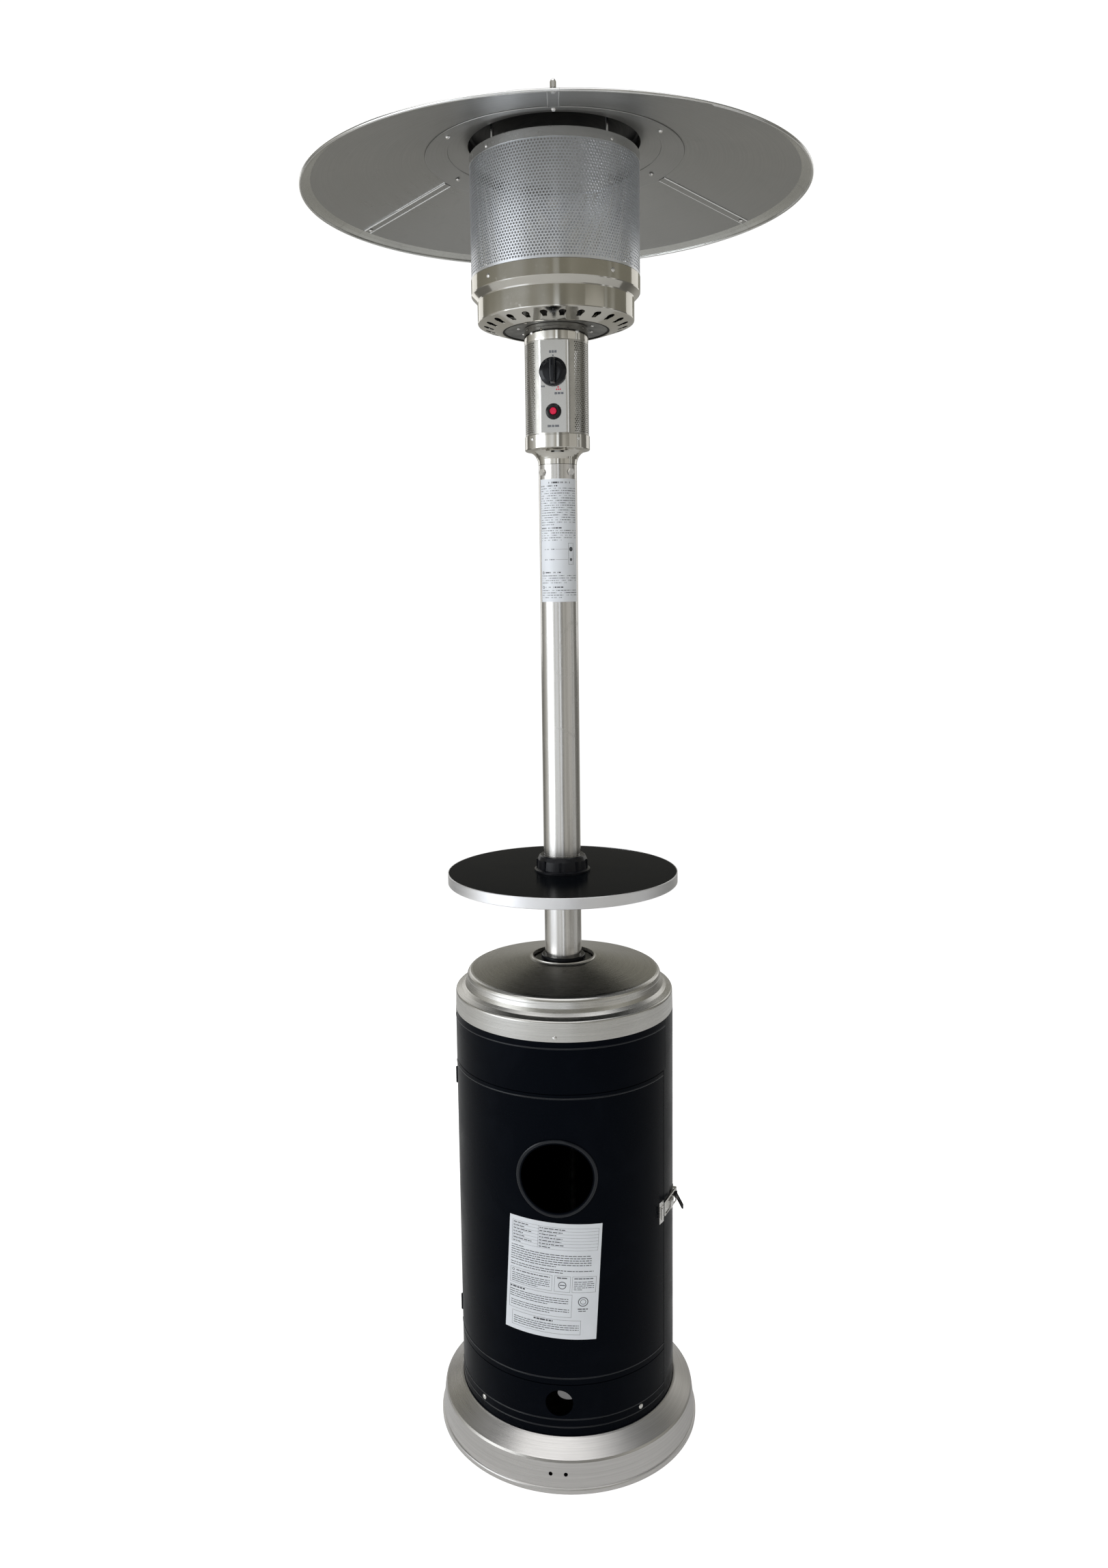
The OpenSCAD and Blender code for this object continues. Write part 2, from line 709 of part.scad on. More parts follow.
module thermocouple() {
    color("peru") at(pilot_angle, pilot_place, dish_z + 1) {
        cylinder(r = 3, h = 54);
        translate([0, 0, 53.9]) cylinder(r = 1.8, h = 38);
    }
}

module igniter_electrode() {
    color("ivory") at(-pilot_angle, pilot_place, dish_z + 1) {
        cylinder(r = 3, h = 66);
        translate([0, 0, 65.9]) cylinder(r = 0.9, h = 26);
    }
}

// Burner housing and emitter

// Outline of an air slot along local -Y, wider at its outer end
module air_slot() {
    translate([0, -103.5]) circle(r = 4, $fn = 32);
    translate([0, -112]) circle(r = 6, $fn = 32);
    polygon([[-3.88, -104.4], [3.88, -104.4], [5.83, -113.4], [-5.83, -113.4]]);
}

module burner_housing() {
    path = [[dish_r, dish_z], [dish_r + 6, dish_z], [head_low_r - 2.6, head_z - 1], [head_low_r - 0.6, head_z],
        [head_low_r, head_z + 1.4],
        [head_low_r, 1930], [head_low_r + 1, 1932], [head_r - 0.8, 1940.2], [head_r, 1941.6],
        [head_r, shelf_z - 0.8], [head_r - 0.8, shelf_z], [head_r - 6, shelf_z]];
    color("silver") difference() {
        turned(sheet(path, 1.2));
        for (a = quarters) at(a, 0, 1953.5) rod_out(1.7, 125, 145);
        for (i = [0:slot_count - 1]) at(slot_phase + i * 360 / slot_count, 0, dish_z - 1)
            linear_extrude(18) air_slot();
    }
}

module emitter_screen() {
    color("gray") tube(emitter_r - 0.9, emitter_r, shelf_z + 0.1, 2142);
}

module emitter_cap() {
    r = emitter_r + 0.5;
    path = [[r, 2140], [r, 2153.4], [r - 0.5, 2154.6], [r - 1.6, emitter_top], [r - 3, emitter_top], [r - 3.6, 2153]];
    color("silver") difference() {
        union() {
            turned(sheet(path, 0.45));
            tube(0, emitter_r - 1.1, 2149, 2150.4);
            tube(emitter_r - 1.4, emitter_r + 0.2, 2142.1, 2154);
        }
        for (a = quarters) {
            at(a, 0, 2145.5) rod_out(1.7, 125, 145);
            at(a, stud_place, 2140) cylinder(r = 2.6, h = 20);
        }
    }
}

// Reflector

module reflector_studs() {
    color("gainsboro") for (a = quarters) at(a, stud_place, 2143) {
        cylinder(r = 2.5, h = 60);
        cylinder(r = 5, h = 5.9, $fn = 6);
    }
}

module stud_nuts() {
    color("gainsboro") for (a = quarters) at(a, stud_place) {
        translate([0, 0, crown_z - 6.05]) nut(8, 6);
        translate([0, 0, crown_z + 1.1]) nut(8, 5);
    }
}

// Hexagon nut for a stud of 5 mm
module nut(across, h) {
    difference() {
        cylinder(r = across / sqrt(3), h = h, $fn = 6);
        translate([0, 0, -1]) cylinder(r = 2.55, h = h + 2);
    }
}

module reflector_crown() {
    lap = 1.1;
    path = [[0, crown_z], [133, crown_z], [136.5, crown_z - 1.2], [138, crown_z - 4], [138, cone_z(138) + 0.2],
        [138.8, cone_z(138.8)], [170.6, cone_z(170.6)], [171.4, cone_z(171.4) - lap],
        [206.5, cone_z(206.5) - lap], [207.4, cone_z(207.4) - lap - 0.4]];
    color("gray") difference() {
        turned(sheet(path, 1));
        for (a = quarters) at(a, stud_place, crown_z - 5) cylinder(r = 2.6, h = 10);
        for (i = [0:5]) at(panel_seam - 1.2 + 60 * i, 188, 2120) cylinder(r = 2.1, h = 60);
    }
}

// One third of the reflector: a cone with a turned-down hemmed rim, and a lap strip under its neighbour.
// It is drawn as the right-hand panel and turned into its place.
module reflector_panel(turn) {
    a0 = panel_seam + 120;
    lap = 1;
    strip = 2.4;
    under = [for (r = [cone_in + 36, cone_out - 2]) [r, cone_z(r)]];
    outline = [[cone_in, cone_z(cone_in)], [cone_out, rim_z], [cone_out + 9, rim_z - 3.7],
        [cone_out + 16, rim_z - 7.6]];
    color("darkgray") rotate([0, 0, turn]) difference() {
        union() {
            rotate([0, 0, a0 - 90]) rotate_extrude(angle = 119.95) {
                polygon(sheet(outline, sheet_t));
                translate([reflector_d / 2 - hem_r, rim_z - 8.1]) circle(r = hem_r, $fn = 24);
            }
            translate([0, 0, -lap]) {
                turned_arc(sheet(under, sheet_t), a0 - strip, a0 + 0.35);
                turned_arc(sheet(under, sheet_t + lap - 0.35), a0, a0 + 0.35);
            }
        }
        for (a = [a0 - strip / 2, a0 + 120 - strip / 2]) at(a, 378, 2060) cylinder(r = 2.1, h = 80);
        for (i = [-1:3]) at(a0 - strip / 2 + 60 * i, 188, 2120) cylinder(r = 2.1, h = 60);
    }
}

module reflector_panel_front() reflector_panel(-120);
module reflector_panel_right() reflector_panel(0);
module reflector_panel_left() reflector_panel(120);

// Bolt through the reflector, its head on the underside and a cap nut above
module panel_bolt(angle, r, below, cap) {
    z = cone_z(r);
    at(angle, r) {
        translate([0, 0, z - below - 2]) cylinder(r1 = 2.6, r2 = 4, h = 2);
        translate([0, 0, z - below - 0.1]) cylinder(r = 2, h = below + 6);
        translate([0, 0, z + 2.1]) cylinder(r = 7 / sqrt(3), h = cap, $fn = 6);
        translate([0, 0, z + 2.1 + cap]) intersection() {
            sphere(r = 3.5);
            translate([-5, -5, -0.1]) cube([10, 10, 5]);
        }
    }
}

module reflector_bolts() {
    color("gainsboro") {
        for (i = [0:2]) panel_bolt(panel_seam - 1.2 + 120 * i, 378, 2.1, 8);
        for (i = [0:5]) panel_bolt(panel_seam - 1.2 + 60 * i, 188, 2.3, 4);
    }
}

base_ring();
base_plate();
support_leg_left();
support_leg_back();
support_leg_right();
leg_bolts();
post_bracket();
post();
post_bolts();
post_label();
barrel_rear();
barrel_top_front();
barrel_low_front();
barrel_screws();
door_jamb();
hinge_leaves();
latch_base();
latch_lever();
latch_loop();
door();
door_hinges();
door_label();
latch_keeper();
cover_dome();
cover_grommet();
cover_rivets();
table_top();
table_band();
table_hub();
table_screws();
table_collar();
control_cup();
housing_screen();
upper_collar();
head_screws();
control_panel();
control_knob();
knob_spindle();
igniter_bezel();
igniter_button();
igniter_body();
gas_valve();
gas_pipe();
hose_fitting();
mixer_tube();
thermocouple();
igniter_electrode();
tilt_switch();
burner_housing();
burner_floor();
burner_head();
emitter_screen();
emitter_cap();
reflector_studs();
stud_nuts();
reflector_crown();
reflector_panel_front();
reflector_panel_right();
reflector_panel_left();
reflector_bolts();
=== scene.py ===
import math
import random

import bpy
from mathutils import Matrix, Vector


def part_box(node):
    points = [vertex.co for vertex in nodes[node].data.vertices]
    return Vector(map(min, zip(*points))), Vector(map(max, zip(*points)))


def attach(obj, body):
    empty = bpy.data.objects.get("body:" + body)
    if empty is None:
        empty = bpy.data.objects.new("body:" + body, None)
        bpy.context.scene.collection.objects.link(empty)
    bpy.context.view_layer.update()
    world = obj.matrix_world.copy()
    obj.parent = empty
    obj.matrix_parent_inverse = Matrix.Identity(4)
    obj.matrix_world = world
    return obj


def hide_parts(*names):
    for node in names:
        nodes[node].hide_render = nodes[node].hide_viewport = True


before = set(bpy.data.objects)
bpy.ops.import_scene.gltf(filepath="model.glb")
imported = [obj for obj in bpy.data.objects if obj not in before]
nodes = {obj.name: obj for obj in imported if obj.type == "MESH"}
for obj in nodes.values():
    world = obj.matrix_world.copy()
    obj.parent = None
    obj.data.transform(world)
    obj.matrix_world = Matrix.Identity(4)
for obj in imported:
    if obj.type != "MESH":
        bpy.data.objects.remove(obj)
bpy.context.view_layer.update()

MM = 0.001
rng = random.Random(11)


# ---------------------------------------------------------------- places read from the frame

def outer_radius(node):
    lo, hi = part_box(node)
    return (hi.x - lo.x) / 2


BARREL_R = outer_radius("barrel_rear")
POST_R = outer_radius("post")
SCREEN_R = outer_radius("emitter_screen")
HOUSING_R = outer_radius("housing_screen")
PANEL_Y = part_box("control_panel")[0].y
KNOB_Z = (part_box("control_knob")[0].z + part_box("control_knob")[1].z) / 2
BUTTON_Z = (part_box("igniter_bezel")[0].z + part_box("igniter_bezel")[1].z) / 2
# Height of the middle of the hand hole in the door, and its radius
HAND_HOLE_Z, HAND_HOLE_R = 0.5225, 0.059
# Radii where the reflector folds down, where its rolled hem starts and where the crown turns up
FOLD_R, HEM_R, CROWN_R = (0.3878, 0.3886), (0.4012, 0.4030), (0.1380, 0.1388)
# Angles of the door's two edges, in degrees from the front towards +X
DOOR_EDGES = (-79, 65.4)


def on_cylinder(r, angle, z):
    """Point at an angle in degrees from the front towards +X."""
    a = math.radians(angle)
    return Vector((r * math.sin(a), -r * math.cos(a), z))


# ---------------------------------------------------------------- camera, floor and light

# The camera that was fitted to the photo, which stood 4.75 degrees round from the door's middle
TURN = math.radians(4.75)
YAW, PITCH, ROLL = math.radians(-1.9), math.radians(-6.85), math.radians(-0.9)
CAMERA_PLACE = (0, -2.00707, 1.46038)
FILM_WIDTH, LENS, LENS_SHIFT = 36, 27.272, (0.02057, -0.02998)

# Brightness of the room by angle, in degrees from the front towards +X
WALLS = (
    (-180, 0.32), (-152, 0.40), (-138, 0.18), (-124, 0.20), (-100, 0.50), (-84, 0.75),
    (-72, 1.30), (-44, 1.45), (-28, 0.80), (-14, 1.00), (0, 0.50), (4, 1.50), (8, 1.45),
    (11, 0.22), (17, 0.24), (27, 0.58), (40, 0.40), (54, 0.25), (78, 0.27), (82, 0.90),
    (86, 0.25), (96, 0.75), (101, 0.22), (135, 0.16), (160, 0.42), (180, 0.32),
)
# Upper wall and ceiling: the height it starts at and is full at, its share, its colour
UPPER_TONES = (
    (0.206, 0.228, 0.88, (0.25, 0.24, 0.195, 1)),
    (0.38, 0.75, 0.95, (0.10, 0.105, 0.11, 1)),
)

FLOOR_R, FLOOR_SIDES, FLOOR_DROP = 2.8, 96, 0.0006
# The floor's own light: for the camera outside the base ring, and for everything else
CAMERA_GLOW, BOUNCE_GLOW, RING_R = 0.80, 0.14, (0.20, 0.235)


def make_camera():
    level = math.cos(PITCH)
    fwd = Vector((math.sin(YAW) * level, math.cos(YAW) * level, math.sin(PITCH)))
    right = Vector((math.cos(YAW), -math.sin(YAW), 0))
    up = right.cross(fwd)
    side = right * math.cos(ROLL) + up * math.sin(ROLL)
    top = up * math.cos(ROLL) - right * math.sin(ROLL)
    pose = Matrix((side, top, -fwd)).transposed().to_4x4()
    pose.translation = Vector(CAMERA_PLACE)
    data = bpy.data.cameras.new("camera")
    data.sensor_width = FILM_WIDTH
    data.lens = LENS
    data.shift_x, data.shift_y = LENS_SHIFT
    data.clip_end = 100
    camera = bpy.data.objects.new("camera", data)
    camera.matrix_world = Matrix.Rotation(TURN, 4, "Z") @ pose
    bpy.context.scene.collection.objects.link(camera)
    bpy.context.scene.camera = camera


def area_light(name, angle, distance, z, size, power, colour=(1, 1, 1), aim_z=1.2):
    """A soft box at an angle in degrees from the front towards +X, aimed at the heater's axis."""
    data = bpy.data.lights.new(name, "AREA")
    data.shape = "RECTANGLE"
    data.size, data.size_y = size
    data.energy = power
    data.color = colour
    lamp = bpy.data.objects.new(name, data)
    lamp.location = on_cylinder(distance, angle, z)
    aim = Vector((0, 0, aim_z)) - lamp.location
    lamp.rotation_euler = aim.to_track_quat("-Z", "Y").to_euler()
    bpy.context.scene.collection.objects.link(lamp)


def make_world():
    """White for the camera. For the rest, a room with a bright side and a dark ceiling."""
    world = bpy.data.worlds.new("studio")
    world.use_nodes = True
    tree = world.node_tree
    tree.nodes.clear()
    new, link = tree.nodes.new, tree.links.new
    out = new("ShaderNodeOutputWorld")
    mix = new("ShaderNodeMixShader")
    sees = new("ShaderNodeLightPath")
    seen = new("ShaderNodeBackground")
    seen.inputs["Color"].default_value = (1, 1, 1, 1)
    seen.inputs["Strength"].default_value = 1.05
    room = new("ShaderNodeBackground")
    room.inputs["Strength"].default_value = 1.0
    where = new("ShaderNodeTexCoord")
    split = new("ShaderNodeSeparateXYZ")
    link(where.outputs["Generated"], split.inputs[0])
    turn = new("ShaderNodeMath")
    turn.operation = "ARCTAN2"
    link(split.outputs["X"], turn.inputs[0])
    back = new("ShaderNodeMath")
    back.operation = "MULTIPLY"
    back.inputs[1].default_value = -1
    link(split.outputs["Y"], back.inputs[0])
    link(back.outputs[0], turn.inputs[1])
    unit = new("ShaderNodeMapRange")
    unit.inputs["From Min"].default_value = -math.pi
    unit.inputs["From Max"].default_value = math.pi
    link(turn.outputs[0], unit.inputs["Value"])
    walls = new("ShaderNodeValToRGB")
    ramp = walls.color_ramp
    ramp.interpolation = "EASE"
    while len(ramp.elements) < len(WALLS):
        ramp.elements.new(0.5)
    for element, (angle, level) in zip(ramp.elements, WALLS):
        element.position = (angle + 180) / 360
        cool = max(0, min(1, (level - 0.5) / 0.6))
        tone = (0.99 - 0.05 * cool, 0.97 + 0.01 * cool, 0.90 + 0.14 * cool)
        element.color = (*(level * part for part in tone), 1)
    link(unit.outputs[0], walls.inputs[0])
    colour = walls.outputs[0]
    for low, high, share, tone in UPPER_TONES:
        height = new("ShaderNodeMapRange")
        height.inputs["From Min"].default_value = low
        height.inputs["From Max"].default_value = high
        link(split.outputs["Z"], height.inputs["Value"])
        part = new("ShaderNodeMath")
        part.operation = "MULTIPLY"
        part.inputs[1].default_value = share
        link(height.outputs[0], part.inputs[0])
        blend = new("ShaderNodeMixRGB")
        blend.inputs[2].default_value = tone
        link(part.outputs[0], blend.inputs[0])
        link(colour, blend.inputs[1])
        colour = blend.outputs[0]
    link(colour, room.inputs["Color"])
    link(sees.outputs["Is Camera Ray"], mix.inputs[0])
    link(room.outputs[0], mix.inputs[1])
    link(seen.outputs[0], mix.inputs[2])
    link(mix.outputs[0], out.inputs[0])
    bpy.context.scene.world = world


def make_floor():
    """A pale round sheet of studio paper that is brighter to the camera than to the metal."""
    turns = [2 * math.pi * k / FLOOR_SIDES for k in range(FLOOR_SIDES)]
    rim = [(FLOOR_R * math.cos(turn), FLOOR_R * math.sin(turn), 0) for turn in turns]
    mesh = bpy.data.meshes.new("floor")
    mesh.from_pydata(rim, [], [list(range(FLOOR_SIDES))])
    floor = bpy.data.objects.new("floor", mesh)
    floor.location.z = -FLOOR_DROP
    bpy.context.scene.collection.objects.link(floor)
    paper_tone = Finish("floor_paper", (0.88, 0.88, 0.88), 0, 0.9, Specular_IOR_Level=0.0)
    paper_tone.shader.inputs["Emission Color"].default_value = (1, 1, 1, 1)
    sees = paper_tone.node("LightPath")
    away = paper_tone.spread(paper_tone.place()[2], 0, CAMERA_GLOW, *RING_R)
    seen = paper_tone.math("MULTIPLY", sees.outputs["Is Camera Ray"], away)
    glow = paper_tone.math("ADD", seen, BOUNCE_GLOW)
    paper_tone.link(glow, paper_tone.shader.inputs["Emission Strength"])
    mesh.materials.append(paper_tone.done())


# ---------------------------------------------------------------- materials

class Finish:
    """A Principled material whose patterns are read in the object's own coordinates."""

    def __init__(self, name, colour, metallic, rough, **sockets):
        self.material = bpy.data.materials.new(name)
        self.material.use_nodes = True
        self.tree = self.material.node_tree
        self.shader = self.tree.nodes["Principled BSDF"]
        self.colour, self.rough = colour, rough
        self.shader.inputs["Base Color"].default_value = (*colour, 1)
        self.shader.inputs["Metallic"].default_value = metallic
        self.shader.inputs["Roughness"].default_value = rough
        for key, value in sockets.items():
            self.shader.inputs[key.replace("_", " ")].default_value = value
        self.material.diffuse_color = (*colour, 1)
        self.bumps = []
        self.parts = None

    def node(self, kind, **values):
        made = self.tree.nodes.new("ShaderNode" + kind)
        for key, value in values.items():
            setattr(made, key, value)
        return made

    def link(self, source, target):
        self.tree.links.new(source, target)

    def math(self, operation, a, b=None):
        made = self.node("Math", operation=operation)
        for socket, value in zip(made.inputs, (a, b)):
            if value is None:
                continue
            if isinstance(value, (int, float)):
                socket.default_value = value
            else:
                self.link(value, socket)
        return made.outputs[0]

    def place(self):
        """x/r, y/r, r and z of the shaded point about the heater's axis."""
        if self.parts is None:
            where = self.node("TexCoord").outputs["Object"]
            split = self.node("SeparateXYZ")
            self.link(where, split.inputs[0])
            x, y, z = split.outputs
            squares = [self.math("MULTIPLY", part, part) for part in (x, y)]
            r = self.math("SQRT", self.math("ADD", *squares))
            safe = self.math("MAXIMUM", r, 0.0005)
            self.parts = (self.math("DIVIDE", x, safe), self.math("DIVIDE", y, safe), r, z, where)
        return self.parts

    def vector(self, kind, fine, along):
        """Pattern coordinates: fine is cycles a metre across the grain, along is along it."""
        nx, ny, r, z, where = self.place()
        made = self.node("CombineXYZ")
        if kind == "round":
            across = self.math("MULTIPLY", self.math("SUBTRACT", z, r), fine)
            sources = (self.math("MULTIPLY", nx, along), self.math("MULTIPLY", ny, along), across)
        elif kind == "upright":
            spread = fine * 0.1
            sources = (self.math("MULTIPLY", nx, spread), self.math("MULTIPLY", ny, spread),
                       self.math("MULTIPLY", z, along))
        else:
            scaled = self.node("VectorMath", operation="SCALE")
            scaled.inputs["Scale"].default_value = fine
            self.link(where, scaled.inputs[0])
            return scaled.outputs[0]
        for source, target in zip(sources, made.inputs):
            self.link(source, target)
        return made.outputs[0]

    def noise(self, kind, fine, along=1.0, detail=2.0, rough=0.5, distortion=0.0):
        made = self.node("TexNoise")
        made.inputs["Scale"].default_value = 1.0
        made.inputs["Detail"].default_value = detail
        made.inputs["Roughness"].default_value = rough
        made.inputs["Distortion"].default_value = distortion
        self.link(self.vector(kind, fine, along), made.inputs["Vector"])
        return made.outputs["Fac"]

    def spread(self, source, low, high, start=0.35, end=0.65):
        made = self.node("MapRange")
        made.inputs["From Min"].default_value = start
        made.inputs["From Max"].default_value = end
        made.inputs["To Min"].default_value = low
        made.inputs["To Max"].default_value = high
        self.link(source, made.inputs["Value"])
        return made.outputs[0]

    def tint(self, source, other, low=0.0, high=1.0, start=0.35, end=0.65):
        """Mixes another colour in where source is high."""
        made = self.node("MixRGB")
        self.link(self.spread(source, low, high, start, end), made.inputs[0])
        socket = self.shader.inputs["Base Color"]
        if socket.is_linked:
            self.link(socket.links[0].from_socket, made.inputs[1])
        else:
            made.inputs[1].default_value = (*self.colour, 1)
        made.inputs[2].default_value = (*other, 1)
        self.link(made.outputs[0], socket)
        return self

    def rougher(self, source, low, high, start=0.35, end=0.65):
        """Adds to the roughness where source is high."""
        change = self.spread(source, low, high, start, end)
        socket = self.shader.inputs["Roughness"]
        base = socket.links[0].from_socket if socket.is_linked else self.rough
        self.link(self.math("ADD", change, base), socket)
        return self

    def bump(self, source, depth, strength=1.0):
        made = self.node("Bump")
        made.inputs["Strength"].default_value = strength
        made.inputs["Distance"].default_value = depth
        self.link(source, made.inputs["Height"])
        if self.bumps:
            self.link(self.bumps[-1].outputs[0], made.inputs["Normal"])
        self.bumps.append(made)
        self.link(made.outputs[0], self.shader.inputs["Normal"])
        return self

    def groove(self, amount):
        """Stretches the highlight across a brushed grain that runs round the axis."""
        tangent = self.node("Tangent", direction_type="RADIAL", axis="Z")
        self.link(tangent.outputs[0], self.shader.inputs["Tangent"])
        self.shader.inputs["Anisotropic"].default_value = amount
        return self

    def done(self):
        return self.material


def brushed_round(name, colour, rough, anisotropy=0.6):
    """Stainless sheet spun and brushed round the axis."""
    m = Finish(name, colour, 1, rough)
    fine = m.noise("round", 2600, 3.0, 3, 0.7)
    streak = m.noise("round", 420, 1.2, 3, 0.6)
    cloud = m.noise("free", 5.5, detail=3)
    smudge = m.noise("free", 21, detail=4, distortion=0.6)
    m.tint(streak, tuple(c * 0.82 for c in colour), 0, 0.7)
    m.tint(smudge, tuple(c * 0.90 for c in colour), 0, 0.6, 0.5, 0.8)
    m.rougher(fine, -0.05, 0.08)
    m.rougher(cloud, -0.03, 0.06)
    m.bump(fine, 0.00006, 0.5)
    m.bump(streak, 0.00008, 0.35)
    return m.groove(anisotropy).done()


def brushed_upright(name, colour, rough):
    """Stainless tube polished along its length."""
    m = Finish(name, colour, 1, rough)
    fine = m.noise("upright", 420, 6.0, 3, 0.7)
    streak = m.noise("upright", 90, 1.5, 3, 0.6)
    scuff = m.noise("free", 26, detail=5, distortion=1.0)
    m.tint(streak, tuple(c * 0.84 for c in colour), 0, 0.8)
    m.tint(scuff, tuple(c * 0.72 for c in colour), 0, 0.7, 0.62, 0.80)
    m.rougher(fine, -0.05, 0.07)
    m.rougher(scuff, 0.0, 0.12, 0.55, 0.8)
    m.bump(fine, 0.00004, 0.5)
    return m.done()


def polished(name, colour, rough, ripple=0.0006):
    """Bright thin sheet, slightly rippled, so that what it reflects wavers."""
    m = Finish(name, colour, 1, rough)
    wave = m.noise("free", 16, detail=1)
    dust = m.noise("free", 140, detail=4)
    haze = m.noise("free", 9, detail=3)
    m.tint(haze, tuple(c * 0.88 for c in colour), 0, 0.8)
    m.rougher(haze, 0.0, 0.05)
    m.rougher(dust, 0.0, 0.06, 0.6, 0.75)
    m.bump(wave, ripple, 0.6)
    return m.done()


def painted(name, colour, rough, shine):
    """Powder-coated sheet: a slight orange peel, dust and faint rubbed marks."""
    m = Finish(name, colour, 0, rough, Specular_IOR_Level=shine, IOR=1.28)
    peel = m.noise("free", 420, detail=2)
    dust = m.noise("free", 900, detail=2)
    rub = m.noise("free", 12, detail=5, distortion=0.8)
    m.tint(dust, (0.05, 0.055, 0.06), 0, 0.35, 0.72, 0.84)
    m.tint(rub, tuple(min(1, c * 1.4 + 0.0015) for c in colour), 0, 0.7, 0.5, 0.75)
    m.rougher(rub, -0.03, 0.06)
    m.bump(peel, 0.00008, 0.2)
    return m.done()


def laminate(name, colour, rough):
    """Smooth dark table top with a little dust and faint wiping marks."""
    m = Finish(name, colour, 0, rough, Specular_IOR_Level=0.10, IOR=1.13)
    wipe = m.noise("free", 9, detail=4, distortion=1.4)
    dust = m.noise("free", 700, detail=2)
    m.tint(wipe, tuple(c * 1.25 for c in colour), 0, 0.8, 0.45, 0.75)
    m.tint(dust, (0.05, 0.05, 0.055), 0, 0.3, 0.74, 0.86)
    m.rougher(wipe, -0.02, 0.04)
    return m.done()


def plastic(name, colour, rough, grain=700, depth=0.00008):
    m = Finish(name, colour, 0, rough, Specular_IOR_Level=0.35)
    fine = m.noise("free", grain, detail=3)
    wear = m.noise("free", 60, detail=4)
    m.tint(wear, tuple(min(1, c * 1.5 + 0.002) for c in colour), 0, 0.8, 0.5, 0.8)
    m.rougher(wear, -0.04, 0.10)
    m.bump(fine, depth, 0.4)
    return m.done()


def bare_metal(name, colour, rough, grain=260, patchy=0.7):
    m = Finish(name, colour, 1, rough)
    fine = m.noise("free", grain, detail=4)
    patch = m.noise("free", 45, detail=3)
    m.tint(patch, tuple(c * patchy for c in colour), 0, 0.8)
    m.rougher(patch, -0.04 * (1 - patchy) / 0.3, 0.12 * (1 - patchy) / 0.3)
    m.bump(fine, 0.00005, 0.5)
    return m.done()


def make_finishes():
    warm = (0.62, 0.60, 0.55)
    f = {}
    f["round"] = brushed_round("stainless_spun", (0.62, 0.61, 0.585), 0.25)
    f["base"] = brushed_round("stainless_base", (0.64, 0.625, 0.61), 0.30, 0.45)
    f["post"] = brushed_upright("stainless_tube", (0.68, 0.665, 0.64), 0.20)
    f["polished"] = polished("stainless_polished", warm, 0.06)
    f["housing"] = housing_finish(warm)
    f["panel"] = polished("stainless_panel", (0.72, 0.72, 0.71), 0.16, 0.0002)
    f["perforated"] = bare_metal("stainless_perforated", (0.80, 0.82, 0.86), 0.32, 260, 0.95)
    f["small_holes"] = bare_metal("stainless_small_holes", (0.46, 0.45, 0.42), 0.24, 260, 0.9)
    f["reflector"] = reflector_finish()
    f["crown"] = crown_finish()
    f["cap"] = polished("emitter_hem", (0.66, 0.66, 0.65), 0.22)
    f["black"] = painted("black_powder_coat", (0.0008, 0.0018, 0.0042), 0.27, 0.10)
    f["inner"] = bare_metal("inner_steel", (0.20, 0.20, 0.20), 0.55)
    # painted highlight: the folded edges of the reflector's joint strips are near white
    f["seam"] = bare_metal("seam_edge_highlight", (0.90, 0.90, 0.89), 0.30, 260, 0.92)
    f["zinc"] = bare_metal("zinc_fastener", (0.80, 0.79, 0.77), 0.20, 260, 0.85)
    f["plastic"] = plastic("black_plastic", (0.004, 0.0045, 0.007), 0.28)
    f["knob"] = plastic("black_knob", (0.004, 0.005, 0.008), 0.16, 500, 0.00002)
    f["lever"] = plastic("lever_black", (0.012, 0.012, 0.014), 0.28)
    f["red"] = plastic("red_button", (0.72, 0.012, 0.065), 0.30)
    f["table"] = laminate("table_charcoal", (0.0035, 0.0045, 0.0062), 0.20)
    f["edge"] = edge_finish()
    f["label"] = paper("label_white", (0.84, 0.87, 0.92))
    f["print"] = paper("label_print", (0.06, 0.065, 0.075))
    f["faint"] = paper("label_faint_print", (0.17, 0.18, 0.20))
    f["bead"] = painted("rolled_bead", (0.004, 0.006, 0.010), 0.20, 0.9)
    f["brass"] = bare_metal("brass", (0.72, 0.50, 0.20), 0.28)
    f["ceramic"] = plastic("ceramic", (0.75, 0.70, 0.62), 0.5)
    f["dull"] = bare_metal("burner_plate", (0.24, 0.24, 0.235), 0.42)
    f["burner"] = bare_metal("burner_steel", (0.34, 0.33, 0.33), 0.38)
    f["bezel"] = plastic("bezel_black", (0.006, 0.006, 0.007), 0.20)
    return f


def reflector_finish():
    """Satin sheet; the turned-down rim is painted lighter than the cone and the rolled hem near
    white, as painted highlights; both are also a little smoother.
    """
    m = Finish("reflector_sheet", (0.39, 0.39, 0.38), 1, 0.33)
    rim = m.place()[2]
    # painted highlight: the turned-down rim is tinted lighter than the cone
    m.tint(rim, (0.60, 0.60, 0.565), 0, 1, *FOLD_R)
    m.rougher(rim, 0, -0.10, *FOLD_R)
    # painted highlight: the rolled hem is tinted near white
    m.tint(rim, (0.82, 0.82, 0.81), 0, 1, *HEM_R)
    streak = m.noise("round", 300, 1.5, 3, 0.6)
    cloud = m.noise("free", 4.0, detail=4)
    mark = m.noise("free", 30, detail=5, distortion=1.2)
    m.tint(cloud, (0.355, 0.355, 0.345), 0, 0.6)
    m.tint(mark, (0.32, 0.32, 0.31), 0, 0.5, 0.62, 0.80)
    m.rougher(streak, -0.03, 0.05)
    m.rougher(cloud, -0.03, 0.06)
    m.rougher(rim, 0, -0.04, *HEM_R)
    m.bump(streak, 0.00008, 0.3)
    return m.done()


